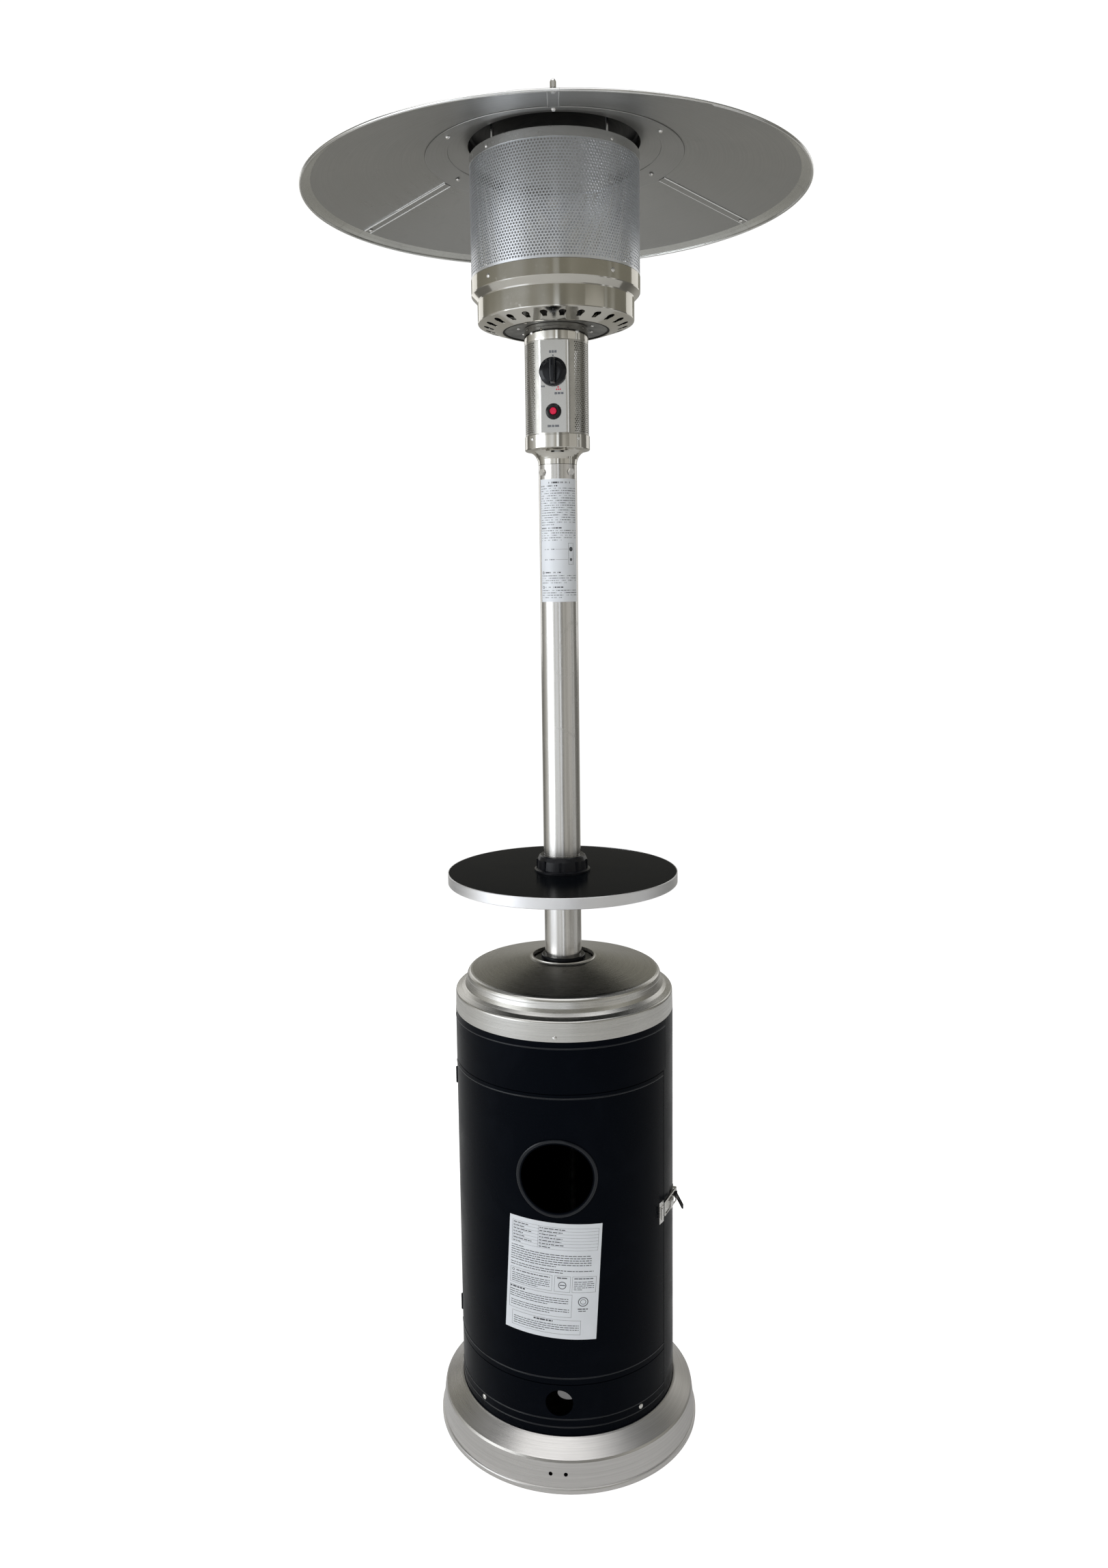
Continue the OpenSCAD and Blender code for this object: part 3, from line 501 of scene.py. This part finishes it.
def crown_finish():
    """Satin sheet, tinted near black inside the raised crown."""
    m = Finish("crown_sheet", (0.40, 0.40, 0.395), 1, 0.34)
    streak = m.noise("round", 420, 1.2, 3, 0.6)
    cloud = m.noise("free", 6, detail=4)
    m.tint(cloud, (0.36, 0.36, 0.35), 0, 0.7)
    # near black tint everywhere inside the crown's radius
    m.tint(m.place()[2], (0.022, 0.022, 0.024), 1, 0, *CROWN_R)
    m.rougher(streak, -0.03, 0.06)
    m.rougher(cloud, 0, 0.05)
    m.bump(streak, 0.00008, 0.3)
    return m.done()


def housing_finish(colour):
    """Polished outside; inside, behind the air slots, it is painted near black as shade."""
    m = Finish("burner_housing_sheet", colour, 1, 0.06)
    wave = m.noise("free", 13, detail=1)
    dust = m.noise("free", 140, detail=4)
    haze = m.noise("free", 9, detail=3)
    m.tint(haze, tuple(c * 0.86 for c in colour), 0, 0.8)
    r, z = m.place()[2:4]
    floor_slope, floor_z, floor_skin, wall_skin = 0.33, 1.8553, (0.0007, 0.0011), (0.1262, 0.1266)
    above = m.math("SUBTRACT", m.math("SUBTRACT", z, m.math("MULTIPLY", r, floor_slope)), floor_z)
    over_floor = m.spread(above, 0, 1, *floor_skin)
    inside = m.math("MULTIPLY", over_floor, m.spread(r, 1, 0, *wall_skin))
    # painted shade: the inside, over the burner floor and within the wall, is tinted near black
    m.tint(inside, (0.010, 0.010, 0.010), 0, 1, 0.2, 0.8)
    m.rougher(inside, 0, 0.5, 0.2, 0.8)
    m.rougher(haze, 0.0, 0.04)
    m.rougher(dust, 0.0, 0.06, 0.6, 0.75)
    m.bump(wave, 0.0007, 0.6)
    return m.done()


def edge_finish():
    m = Finish("edge_aluminium", (0.80, 0.80, 0.81), 0.85, 0.36)
    streak = m.noise("round", 1500, 1.0, 2)
    patch = m.noise("free", 14, detail=3)
    m.tint(patch, (0.70, 0.70, 0.72), 0, 0.8)
    m.rougher(streak, -0.03, 0.07)
    m.bump(streak, 0.00004, 0.4)
    return m.done()


def paper(name, colour):
    m = Finish(name, colour, 0, 0.42, Coat_Weight=0.15)
    fibre = m.noise("free", 600, detail=3)
    patch = m.noise("free", 18, detail=3)
    m.tint(patch, tuple(c * 0.94 for c in colour), 0, 0.9)
    m.rougher(fibre, -0.04, 0.06)
    m.bump(fibre, 0.00003, 0.3)
    return m.done()


# ---------------------------------------------------------------- mesh helpers

def piece(name, points, faces, material, body, slot, smooth=None):
    mesh = bpy.data.meshes.new(name)
    mesh.from_pydata([tuple(p) for p in points], [], faces)
    mesh.validate()
    mesh.update()
    mesh.materials.append(material)
    if smooth is not None:
        for face in mesh.polygons:
            face.use_smooth = True
        mesh.set_sharp_from_angle(angle=math.radians(smooth))
    made = bpy.data.objects.new(name, mesh)
    bpy.context.scene.collection.objects.link(made)
    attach(made, body)
    return made


def opened(points, faces, inside, offset):
    """Leaves out the faces in an opening, and walls its edge between the two surfaces.

    offset is how many points the inner surface comes after the outer one."""
    kept = [face for face in faces if not all(inside(points[i]) for i in face)]
    edges = {(a, b) for face in kept for a, b in zip(face, face[1:] + face[:1])}
    cut = [(a, b) for a, b in sorted(edges) if (b, a) not in edges and max(a, b) < offset]
    return kept + [[b, a, a + offset, b + offset] for a, b in cut]


def perforated(r, thickness, z0, z1, pitch, hole, margin, plain=None, window=None):
    """Points and faces of a round screen with staggered six-sided holes.

    plain(angle) says where there are no holes, and window(point) where there is no sheet."""
    columns = int(round(2 * math.pi * r / pitch))
    step = 2 * math.pi / columns
    rows = int((z1 - z0 - 2 * margin) / (pitch * math.sin(math.pi / 3)))
    rise = (z1 - z0 - 2 * margin) / rows
    half = hole / 2 / math.cos(math.pi / 6)
    points, faces = [], []
    surfaces = []
    for depth in (0, thickness):
        surfaces.append(len(points))
        radius = r - depth
        for j in range(rows):
            for i in range(columns):
                a = (i + 0.5 * (j % 2)) * step
                z = z0 + margin + (j + 0.5) * rise
                for k in range(6):
                    t = math.radians(30 + 60 * k)
                    b = a + half * math.cos(t) / r
                    height = z + half * math.sin(t)
                    points.append((radius * math.sin(b), -radius * math.cos(b), height))

    def corner(surface, i, j, k):
        return surfaces[surface] + (j * columns + i % columns) * 6 + k % 6

    def add(surface, ids):
        faces.append(ids if surface == 0 else ids[::-1])

    def span(surface, *places):
        add(surface, [corner(surface, *place) for place in places])

    for s in (0, 1):
        for j in range(rows):
            odd = j % 2
            for i in range(columns):
                span(s, (i, j, 5), (i + 1, j, 3), (i + 1, j, 2), (i, j, 0))
                if j + 1 < rows:
                    ur, ul = (i + 1, i) if odd else (i, i - 1)
                    span(s, (i, j, 0), (ur, j + 1, 4), (ur, j + 1, 3), (i, j, 1))
                    span(s, (i, j, 1), (ul, j + 1, 5), (ul, j + 1, 4), (i, j, 2))
                    span(s, (i, j, 0), (i + 1, j, 2), (ur, j + 1, 4))
                    span(s, (i, j, 1), (ur, j + 1, 3), (ul, j + 1, 5))
    for j in range(rows):
        for i in range(columns):
            a = math.degrees((i + 0.5 * (j % 2)) * step)
            if plain and plain((a + 180) % 360 - 180):
                for s in (0, 1):
                    span(s, *((i, j, k) for k in range(6)))
                continue
            for k in range(6):
                outer, inner = ((corner(s, i, j, k), corner(s, i, j, k + 1)) for s in (0, 1))
                faces.append([outer[0], outer[1], inner[1], inner[0]])
    for row, edge_z, order in ((0, z0, (3, 4, 5)), (rows - 1, z1, (2, 1, 0))):
        chains = []
        for s in (0, 1):
            chain, border = [], []
            for i in range(columns):
                for k in order:
                    c = corner(s, i, row, k)
                    chain.append(c)
                    x, y, _ = points[c]
                    border.append(len(points))
                    points.append((x, y, edge_z))
            n = len(chain)
            for m in range(n):
                ids = [border[m], border[(m + 1) % n], chain[(m + 1) % n], chain[m]]
                add(s, ids[::-1] if row else ids)
            chains.append(border)
        outer, inner = chains
        for m in range(n):
            ids = [inner[m], inner[(m + 1) % n], outer[(m + 1) % n], outer[m]]
            faces.append(ids[::-1] if row else ids)
    if window:
        faces = opened(points, faces, window, surfaces[1])
    return points, faces


def revolved(outline, segments=72):
    """Points and faces of a closed body turned about the Y axis.

    The outline is in (radius, distance along -Y)."""
    points, faces, rings = [], [], []
    for radius, out in outline:
        if radius < 1e-6:
            rings.append([len(points)])
            points.append((0, -out, 0))
            continue
        rings.append(list(range(len(points), len(points) + segments)))
        for s in range(segments):
            a = 2 * math.pi * s / segments
            points.append((radius * math.cos(a), -out, radius * math.sin(a)))
    for lower, upper in zip(rings, rings[1:]):
        for s in range(segments):
            t = (s + 1) % segments
            if len(lower) == 1 and len(upper) == 1:
                continue
            if len(lower) == 1:
                faces.append([lower[0], upper[t], upper[s]])
            elif len(upper) == 1:
                faces.append([lower[s], lower[t], upper[0]])
            else:
                faces.append([lower[s], lower[t], upper[t], upper[s]])
    return points, faces


def loft(sections):
    """Points and faces through closed sections of equal length, capped at both ends."""
    points = [p for section in sections for p in section]
    n = len(sections[0])
    faces = []
    for k in range(len(sections) - 1):
        for i in range(n):
            j = (i + 1) % n
            faces.append([k * n + i, k * n + j, (k + 1) * n + j, (k + 1) * n + i])
    faces.append(list(range(n))[::-1])
    faces.append([len(points) - n + i for i in range(n)])
    return points, faces


def join(*parts):
    points, faces = [], []
    for more_points, more_faces in parts:
        base = len(points)
        points += list(more_points)
        faces += [[base + i for i in face] for face in more_faces]
    return points, faces


def moved(part, offset):
    return [Vector(p) + Vector(offset) for p in part[0]], part[1]


class Sheet:
    """A label wrapped on a cylinder: flat marks in millimetres become thin raised patches."""

    def __init__(self, r, angle, z, lean=0.0, chord=False):
        self.r, self.angle, self.z = r, angle, z
        self.lean = math.radians(lean)
        self.chord = chord
        self.dark, self.faint = ([], []), ([], [])

    def spot(self, s, t, lift):
        x = s * math.cos(self.lean) + t * math.sin(self.lean)
        z = -s * math.sin(self.lean) + t * math.cos(self.lean)
        a = math.asin(x * MM / self.r) if self.chord else x * MM / self.r
        return on_cylinder(self.r + lift, self.angle + math.degrees(a), self.z + z * MM)

    def patch(self, outline, faint=False):
        """A closed thin patch over an outline given as matching lower and upper chains."""
        points, faces = self.faint if faint else self.dark
        lower, upper = outline
        base = len(points)
        n = len(lower)
        for lift in (0.00002, 0.00008):
            for chain in (lower, upper):
                points.extend(self.spot(s, t, lift) for s, t in chain)
        lo, hi, lo2, hi2 = base, base + n, base + 2 * n, base + 3 * n
        for i in range(n - 1):
            faces.append([lo2 + i, lo2 + i + 1, hi2 + i + 1, hi2 + i])
            faces.append([hi + i, hi + i + 1, lo + i + 1, lo + i])
            faces.append([lo + i, lo + i + 1, lo2 + i + 1, lo2 + i])
            faces.append([hi2 + i, hi2 + i + 1, hi + i + 1, hi + i])
        faces.append([lo, lo2, hi2, hi])
        faces.append([lo + n - 1, hi + n - 1, hi2 + n - 1, lo2 + n - 1])

    def bar(self, s0, s1, t0, t1, faint=False):
        count = max(1, int((s1 - s0) / 4))
        chain = [s0 + (s1 - s0) * i / count for i in range(count + 1)]
        self.patch(([(s, t0) for s in chain], [(s, t1) for s in chain]), faint)

    def ring(self, s, t, outer, inner, faint=False):
        turns = [math.radians(15 * k) for k in range(25)]
        self.patch(([(s + outer * math.cos(a), t + outer * math.sin(a)) for a in turns],
                    [(s + inner * math.cos(a), t + inner * math.sin(a)) for a in turns]), faint)

    def frame(self, s0, s1, t0, t1, width=0.35):
        self.bar(s0, s1, t0, t0 + width)
        self.bar(s0, s1, t1 - width, t1)
        self.bar(s0, s0 + width, t0 + width, t1 - width)
        self.bar(s1 - width, s1, t0 + width, t1 - width)

    def row(self, s0, s1, t, height, faint=False):
        """A row of dashes of unequal length, with no letters in it."""
        s = s0
        while s < s1 - 1:
            e = min(s1, s + rng.uniform(2.2, 8.5))
            self.bar(s, e, t, t + height, faint)
            s = e + rng.uniform(0.9, 1.4)

    def block(self, s0, s1, top, count, spacing, height, faint=False):
        for k in range(count):
            end = s1 if k < count - 1 else s0 + (s1 - s0) * rng.uniform(0.35, 0.8)
            self.row(s0, end, top - k * spacing - height, height, faint)

    def make(self, name, body, finishes):
        inks = (("print", self.dark, "print"), ("faint_print", self.faint, "faint"))
        for suffix, (points, faces), finish in inks:
            if points:
                piece(name + "_" + suffix, points, faces, finishes[finish], body, "label_white")


# ---------------------------------------------------------------- pieces

# Angles of the reflector's three seams, and the radii that their joint strips run between
SEAMS, STRIP_ENDS = (4.7, 124.7, 244.7), (0.209, 0.3855)
# Sections in millimetres, (sideways, below the cone): the strip and one folded edge of it
STRIP = ((-7.2, 1.1), (-7.2, 1.5), (7.2, 1.5), (7.2, 1.1))
STRIP_EDGE = ((7.0, 0.5), (7.0, 1.9), (7.7, 2.3), (8.6, 1.5), (8.4, 0.3))
# The cone's underside: radius of the fold, its height over the rim, and the cone's slope
CONE_R, CONE_RISE, CONE_SLOPE = 0.388, 0.0103, 0.2677
# Sections of unit size, (sideways, outwards): a rolled line and the rim of the hand hole
BEAD = ((-1, 0), (1, 0), (0.8, 0.5), (0.35, 0.92), (-0.35, 0.92), (-0.8, 0.5))
RIM = ((-1, 0.0), (-0.75, 0.62), (-0.3, 0.95), (0.3, 0.95), (0.75, 0.62), (1, 0.0))
# How far a raised line is sunk into the sheet it stands on
SINK = 0.0002
# Pitch, hole size and plain margin of the two perforated screens
EMITTER_HOLES = (5.1 * MM, 3.3 * MM, 3.2 * MM)
HOUSING_HOLES = (3.6 * MM, 2.1 * MM, 2.2 * MM)
# Half the angle that has no holes behind the panel, and the window's half width and inset
PLAIN_ANGLE, WINDOW_REACH, WINDOW_INSET = 39.5, 21 * MM, 8 * MM
# Knob in millimetres: (radius, distance out) of the skirt, (out, half width, half height) of
# the grip and (sideways, up) of the pointer
KNOB_SKIRT = (
    (0, 0), (20.8, 0), (21.9, 0.5), (22, 2.4), (21.5, 3.4), (20.4, 4.2), (18.8, 4.7),
    (17.6, 5.6), (15.5, 6.4), (8, 6.9), (0, 7),
)
KNOB_GRIP = (
    (4.5, 7.6, 20.2), (7, 6.4, 20.0), (10, 5.4, 19.6), (14, 4.9, 19.2), (17.5, 4.6, 18.6),
    (19.6, 4.1, 17.9), (20.6, 3.3, 17.0), (21.0, 2.2, 15.6),
)
KNOB_POINTER = ((-0.5, 6), (0.5, 6), (0.5, 15), (-0.5, 15))


def reflector_underside(r):
    """Height of the cone's underside between the crown and the fold."""
    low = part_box("reflector_panel_right")[0].z + CONE_RISE
    return low + (CONE_R - r) * CONE_SLOPE


def make_seams(f):
    """A joint strip under each seam of the reflector, with its folded edges painted bright as a
    highlight.
    """
    start, end = STRIP_ENDS
    steps = [start + (end - start) * k / 12 for k in range(13)]
    strip, edges = [], []
    for angle in SEAMS:
        a = math.radians(angle)
        out_way = Vector((math.sin(a), -math.cos(a), 0))
        side_way = Vector((math.cos(a), math.sin(a), 0))

        def at(r, side, depth):
            up = Vector((0, 0, reflector_underside(r) - depth * MM))
            return out_way * r + side_way * side * MM + up

        strip.append(loft([[at(r, s, d) for s, d in STRIP] for r in steps]))
        for sign in (-1, 1):
            section = [(side * sign, depth) for side, depth in STRIP_EDGE]
            if sign < 0:
                section.reverse()
            edges.append(loft([[at(r, s, d) for s, d in section] for r in steps]))
    piece("reflector_joint_strips", *join(*strip), f["reflector"], "stand", "reflector_metal")
    piece("reflector_strip_edges", *join(*edges), f["seam"], "stand", "reflector_metal", 40)


def half_round(z, start, end, out=0.0008, half=0.0015):
    """A raised rolled line round the cylinder housing between two angles."""
    count = max(8, int((end - start) / 2))
    sections = []
    for k in range(count + 1):
        a = start + (end - start) * k / count
        sections.append([on_cylinder(BARREL_R - SINK + (out + SINK) * lift, a, z + half * side)
                         for side, lift in BEAD])
    return loft(sections)


def hole_rim(centre_z, radius, half=0.0035, out=0.0022, count=72):
    """The embossed rim round the hand hole, wrapped on the door's face."""
    points, faces = [], []
    for k in range(count):
        t = 2 * math.pi * k / count
        for side, lift in RIM:
            reach = radius + half * side
            angle = math.degrees(math.asin(reach * math.cos(t) / BARREL_R))
            z = centre_z + reach * math.sin(t)
            points.append(on_cylinder(BARREL_R - SINK + out * lift, angle, z))
    n = len(RIM)
    for k in range(count):
        for i in range(n):
            j, far = (i + 1) % n, (k + 1) % count
            faces.append([k * n + i, far * n + i, far * n + j, k * n + j])
    return points, faces


def make_beads(f):
    low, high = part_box("door")[0].z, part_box("door")[1].z
    lines = [half_round(z, *DOOR_EDGES) for z in (low + 0.0105, high - 0.0065)]
    points, faces = join(*lines)
    piece("door_rolled_lines", points, faces, f["bead"], "door", "black_paint", 50)
    points, faces = hole_rim(HAND_HOLE_Z, HAND_HOLE_R + 0.0045)
    piece("hand_hole_rim", points, faces, f["bead"], "door", "black_paint", 50)
    lines = [half_round(z, -79.4, 65.8) for z in (0.088, 0.102)] + [half_round(0.740, -79.4, 68)]
    points, faces = join(*lines)
    piece("shell_rolled_lines", points, faces, f["bead"], "stand", "black_paint", 50)


def make_screens(f):
    lo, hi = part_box("emitter_screen")
    points, faces = perforated(SCREEN_R, 0.9 * MM, lo.z, hi.z, *EMITTER_HOLES)
    screen = piece(
        "emitter_perforated_screen", points, faces, f["perforated"], "stand", "emitter_steel")
    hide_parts("emitter_screen")
    lo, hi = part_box("housing_screen")
    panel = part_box("control_panel")
    low, high = panel[0].z + WINDOW_INSET, panel[1].z - WINDOW_INSET
    reach = math.asin(WINDOW_REACH / HOUSING_R)
    points, faces = perforated(
        HOUSING_R, 1.0 * MM, lo.z, hi.z, *HOUSING_HOLES, lambda a: abs(a) < PLAIN_ANGLE,
        lambda q: abs(math.atan2(q[0], -q[1])) < reach and low < q[2] < high)
    screen = piece(
        "housing_perforated_screen", points, faces, f["small_holes"], "stand",
        "polished_stainless")
    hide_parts("housing_screen")


def make_knob(f):
    back = -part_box("control_knob")[1].y
    skirt = revolved([(radius * MM, out * MM) for radius, out in KNOB_SKIRT])
    sections = []
    for out, wide, tall in KNOB_GRIP:
        section = []
        for s in range(48):
            a = 2 * math.pi * s / 48
            c, t = math.cos(a), math.sin(a)
            x = wide * math.copysign(abs(c) ** 0.45, c)
            z = tall * math.copysign(abs(t) ** 0.62, t)
            section.append((x * MM, -out * MM, z * MM))
        sections.append(section)
    grip = loft(sections)
    pointer = loft([[(x * MM, -y * MM, z * MM) for x, z in KNOB_POINTER] for y in (20.5, 21.0)])
    points, faces = moved(join(skirt, grip), (0, -back, KNOB_Z))
    knob = piece("knob_with_grip", points, faces, f["knob"], "control_knob", "black_plastic", 38)
    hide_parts("control_knob")
    points, faces = moved(pointer, (0, -back, KNOB_Z))
    piece("knob_pointer", points, faces, f["label"], "control_knob", "black_plastic")


def flat_patch(outline, y, lift=0.00012):
    """A thin raised patch on the control panel's face, its outline in x and z."""
    n = len(outline)
    points = [(x * MM, depth, z * MM) for depth in (y, y - lift) for x, z in outline]
    faces = [list(range(n)), [2 * n - 1 - i for i in range(n)]]
    faces += [[i, n + i, n + (i + 1) % n, (i + 1) % n] for i in range(n)]
    return points, faces


def disc(x, z, r, count=20):
    turns = [2 * math.pi * k / count for k in range(count)]
    return [(x + r * math.cos(turn), z + r * math.sin(turn)) for turn in turns]


def flame(x, z, size):
    return [(x - 0.5 * size, z), (x + 0.5 * size, z), (x + 0.42 * size, z + 0.7 * size),
            (x, z + 1.6 * size), (x - 0.42 * size, z + 0.7 * size)]


def make_marks(f):
    """Dots, flames and bars on the panel in place of its lettering."""
    y = PANEL_Y - 0.00003
    kz, bz = KNOB_Z / MM, BUTTON_Z / MM

    def bars(low, high, spans):
        return [flat_patch([(x, low), (x + w, low), (x + w, high), (x, high)], y) for x, w in spans]

    dark = [flat_patch(disc(0, kz + 25.2, 1.3), y)]
    dark += bars(kz + 29, kz + 33, ((-6.0, 3.2), (-2.0, 3.6), (2.4, 3.6)))
    dark += bars(kz - 35.2, kz - 31.6, ((2.0, 4.0), (7.0, 4.2), (12.2, 4.0)))
    dark += bars(kz - 23.5, kz - 20.8, ((-19.5, 2.6), (-16.3, 2.8)))
    dark += bars(bz - 24.2, bz - 20.8, ((-9.8, 5.6), (-3.2, 4.4), (2.2, 6.4)))
    red = [flat_patch(disc(7.8, kz - 23.8, 1.2), y)]
    red += [flat_patch(flame(x, kz - 28.6, 2.0), y) for x in (5.4, 8.2, 11.0)]
    piece("panel_marks", *join(*dark), f["faint"], "stand", "polished_stainless")
    piece("panel_red_marks", *join(*red), f["red"], "stand", "polished_stainless")


def make_door_label(f):
    sheet = Sheet(BARREL_R + 0.3 * MM, -2.8, 0.347, lean=3.3, chord=True)
    left, right = -71, 71
    for k in range(8):
        sheet.bar(left, right, 92 - 5.4 * k, 92.25 - 5.4 * k)
    sheet.bar(left, left + 0.3, 54.2, 92.2)
    sheet.bar(-27, -26.7, 54.2, 92.2)
    sheet.bar(right - 0.3, right, 54.2, 92.2)
    for k in range(7):
        t = 88.4 - 5.4 * k
        sheet.row(left + 2, left + rng.uniform(16, 40), t, 1.5)
        sheet.row(-25, -25 + rng.uniform(14, 52), t, 1.5)
    sheet.block(left, -20, 49.5, 1, 3.8, 1.2)
    sheet.block(left, 62, 45.5, 6, 4.0, 1.3)
    sheet.block(left, 66, 19.5, 2, 4.0, 1.3)
    sheet.frame(left, 0, -18, 9.5)
    sheet.ring(left + 5, 5, 2.2, 1.4)
    sheet.row(left + 10, -4, 4.4, 1.6)
    sheet.block(left + 3, -4, 0, 5, 3.5, 1.1)
    sheet.frame(4, 30, -18, 9.5)
    sheet.row(8, 26, 5.2, 1.8)
    sheet.ring(17, -6.5, 6.6, 5.4)
    sheet.bar(12.5, 21.5, -7.2, -5.8)
    sheet.frame(33, right, -18, 9.5)
    sheet.row(36, 68, 5.2, 1.6)
    sheet.block(36, 68, 1, 5, 3.4, 1.0)
    sheet.row(left + 1, left + 26, -26, 2.6)
    sheet.block(left + 1, 28, -29.5, 4, 3.8, 1.2)
    sheet.frame(left, 34, -62, -22)
    sheet.block(left + 3, 30, -48, 3, 3.8, 1.2)
    sheet.ring(52, -34, 8.2, 6.9)
    sheet.ring(52, -34, 4.6, 3.8)
    sheet.row(44, 60, -47.5, 1.8)
    sheet.row(45, 59, -51.0, 1.4)
    sheet.frame(left + 6, 50, -92, -67)
    sheet.row(-28, 4, -71.6, 2.6)
    sheet.block(left + 9, 47, -75.5, 4, 3.8, 1.2)
    sheet.make("door_label", "door", f)


def make_post_label(f):
    sheet = Sheet(POST_R + 0.25 * MM, 6.3, 1.547)
    wide = 33
    sheet.row(-17, 20, 92.5, 2.6)
    sheet.row(-wide, -2, 87.5, 2.0)
    sheet.block(-wide, wide, 85, 16, 3.9, 1.2, True)
    sheet.row(-wide, 6, 19.5, 2.0)
    sheet.block(-wide, wide, 17, 5, 3.9, 1.2, True)
    sheet.frame(16, 26, -39, -4, 0.4)
    sheet.ring(21, -14, 3.6, 0.4)
    sheet.ring(21, -31, 2.4, 0.4)
    for t in (-14, -31):
        sheet.row(-26, -8, t - 0.7, 1.5, True)
        sheet.bar(-6, 15, t - 0.15, t + 0.15)
    sheet.ring(-wide + 3, -52, 2.2, 1.3)
    sheet.row(-wide + 8, 2, -53, 2.0)
    sheet.block(-wide, wide, -56.5, 4, 3.9, 1.2, True)
    sheet.ring(-wide + 3, -76, 2.2, 1.3)
    sheet.row(-wide + 8, 6, -77, 2.0)
    sheet.block(-wide, wide, -80.5, 4, 3.9, 1.2, True)
    sheet.make("post_label", "stand", f)


def paint_nodes(f):
    looks = {
        "round": ["cover_dome"],
        "base": ["base_ring"],
        "post": ["post"],
        "polished": ["upper_collar", "control_cup"],
        "housing": ["burner_housing"],
        "panel": ["control_panel"],
        "reflector": ["reflector_panel_front", "reflector_panel_right", "reflector_panel_left"],
        "crown": ["reflector_crown"],
        "cap": ["emitter_cap"],
        "black": ["barrel_rear", "barrel_top_front", "barrel_low_front", "door", "door_jamb",
                  "hinge_leaves", "door_hinges"],
        "inner": ["base_plate", "support_leg_left", "support_leg_back", "support_leg_right",
                  "post_bracket"],
        "zinc": ["leg_bolts", "post_bolts", "barrel_screws", "cover_rivets", "table_screws",
                 "head_screws", "reflector_studs", "stud_nuts", "reflector_bolts",
                 "knob_spindle", "latch_loop", "latch_base", "latch_keeper"],
        "plastic": ["cover_grommet", "table_hub", "table_collar", "tilt_switch", "igniter_body"],
        "bezel": ["igniter_bezel"],
        "lever": ["latch_lever"],
        "red": ["igniter_button"],
        "table": ["table_top"],
        "edge": ["table_band"],
        "label": ["door_label", "post_label"],
        "brass": ["gas_valve", "gas_pipe", "hose_fitting"],
        "ceramic": ["igniter_electrode"],
        "dull": ["burner_floor"],
        "burner": ["burner_head", "mixer_tube", "thermocouple"],
        "perforated": ["emitter_screen"],
        "small_holes": ["housing_screen"],
        "knob": ["control_knob"],
    }
    for finish, names in looks.items():
        for name in names:
            node = nodes[name]
            if not node.material_slots:
                node.data.materials.append(f[finish])
            for holder in node.material_slots:
                holder.material = f[finish]


def make_lights():
    area_light("key_left", -58, 3.6, 1.45, (2.4, 2.3), 32, (0.96, 0.985, 1.0))
    area_light("fill_right", 62, 3.8, 1.5, (2.0, 2.6), 5, (1.0, 0.985, 0.95))
    area_light("overhead", -15, 1.1, 4.4, (4.2, 4.2), 78, aim_z=0)
    area_light("back_left", -140, 3.6, 2.2, (1.6, 2.2), 10)
    area_light("back_right", 140, 3.6, 2.2, (1.6, 2.2), 8)


make_camera()
make_world()
make_floor()
make_lights()
finishes = make_finishes()
paint_nodes(finishes)
make_screens(finishes)
make_seams(finishes)
make_beads(finishes)
make_knob(finishes)
make_marks(finishes)
make_door_label(finishes)
make_post_label(finishes)

bpy.context.scene.view_settings.view_transform = "Standard"
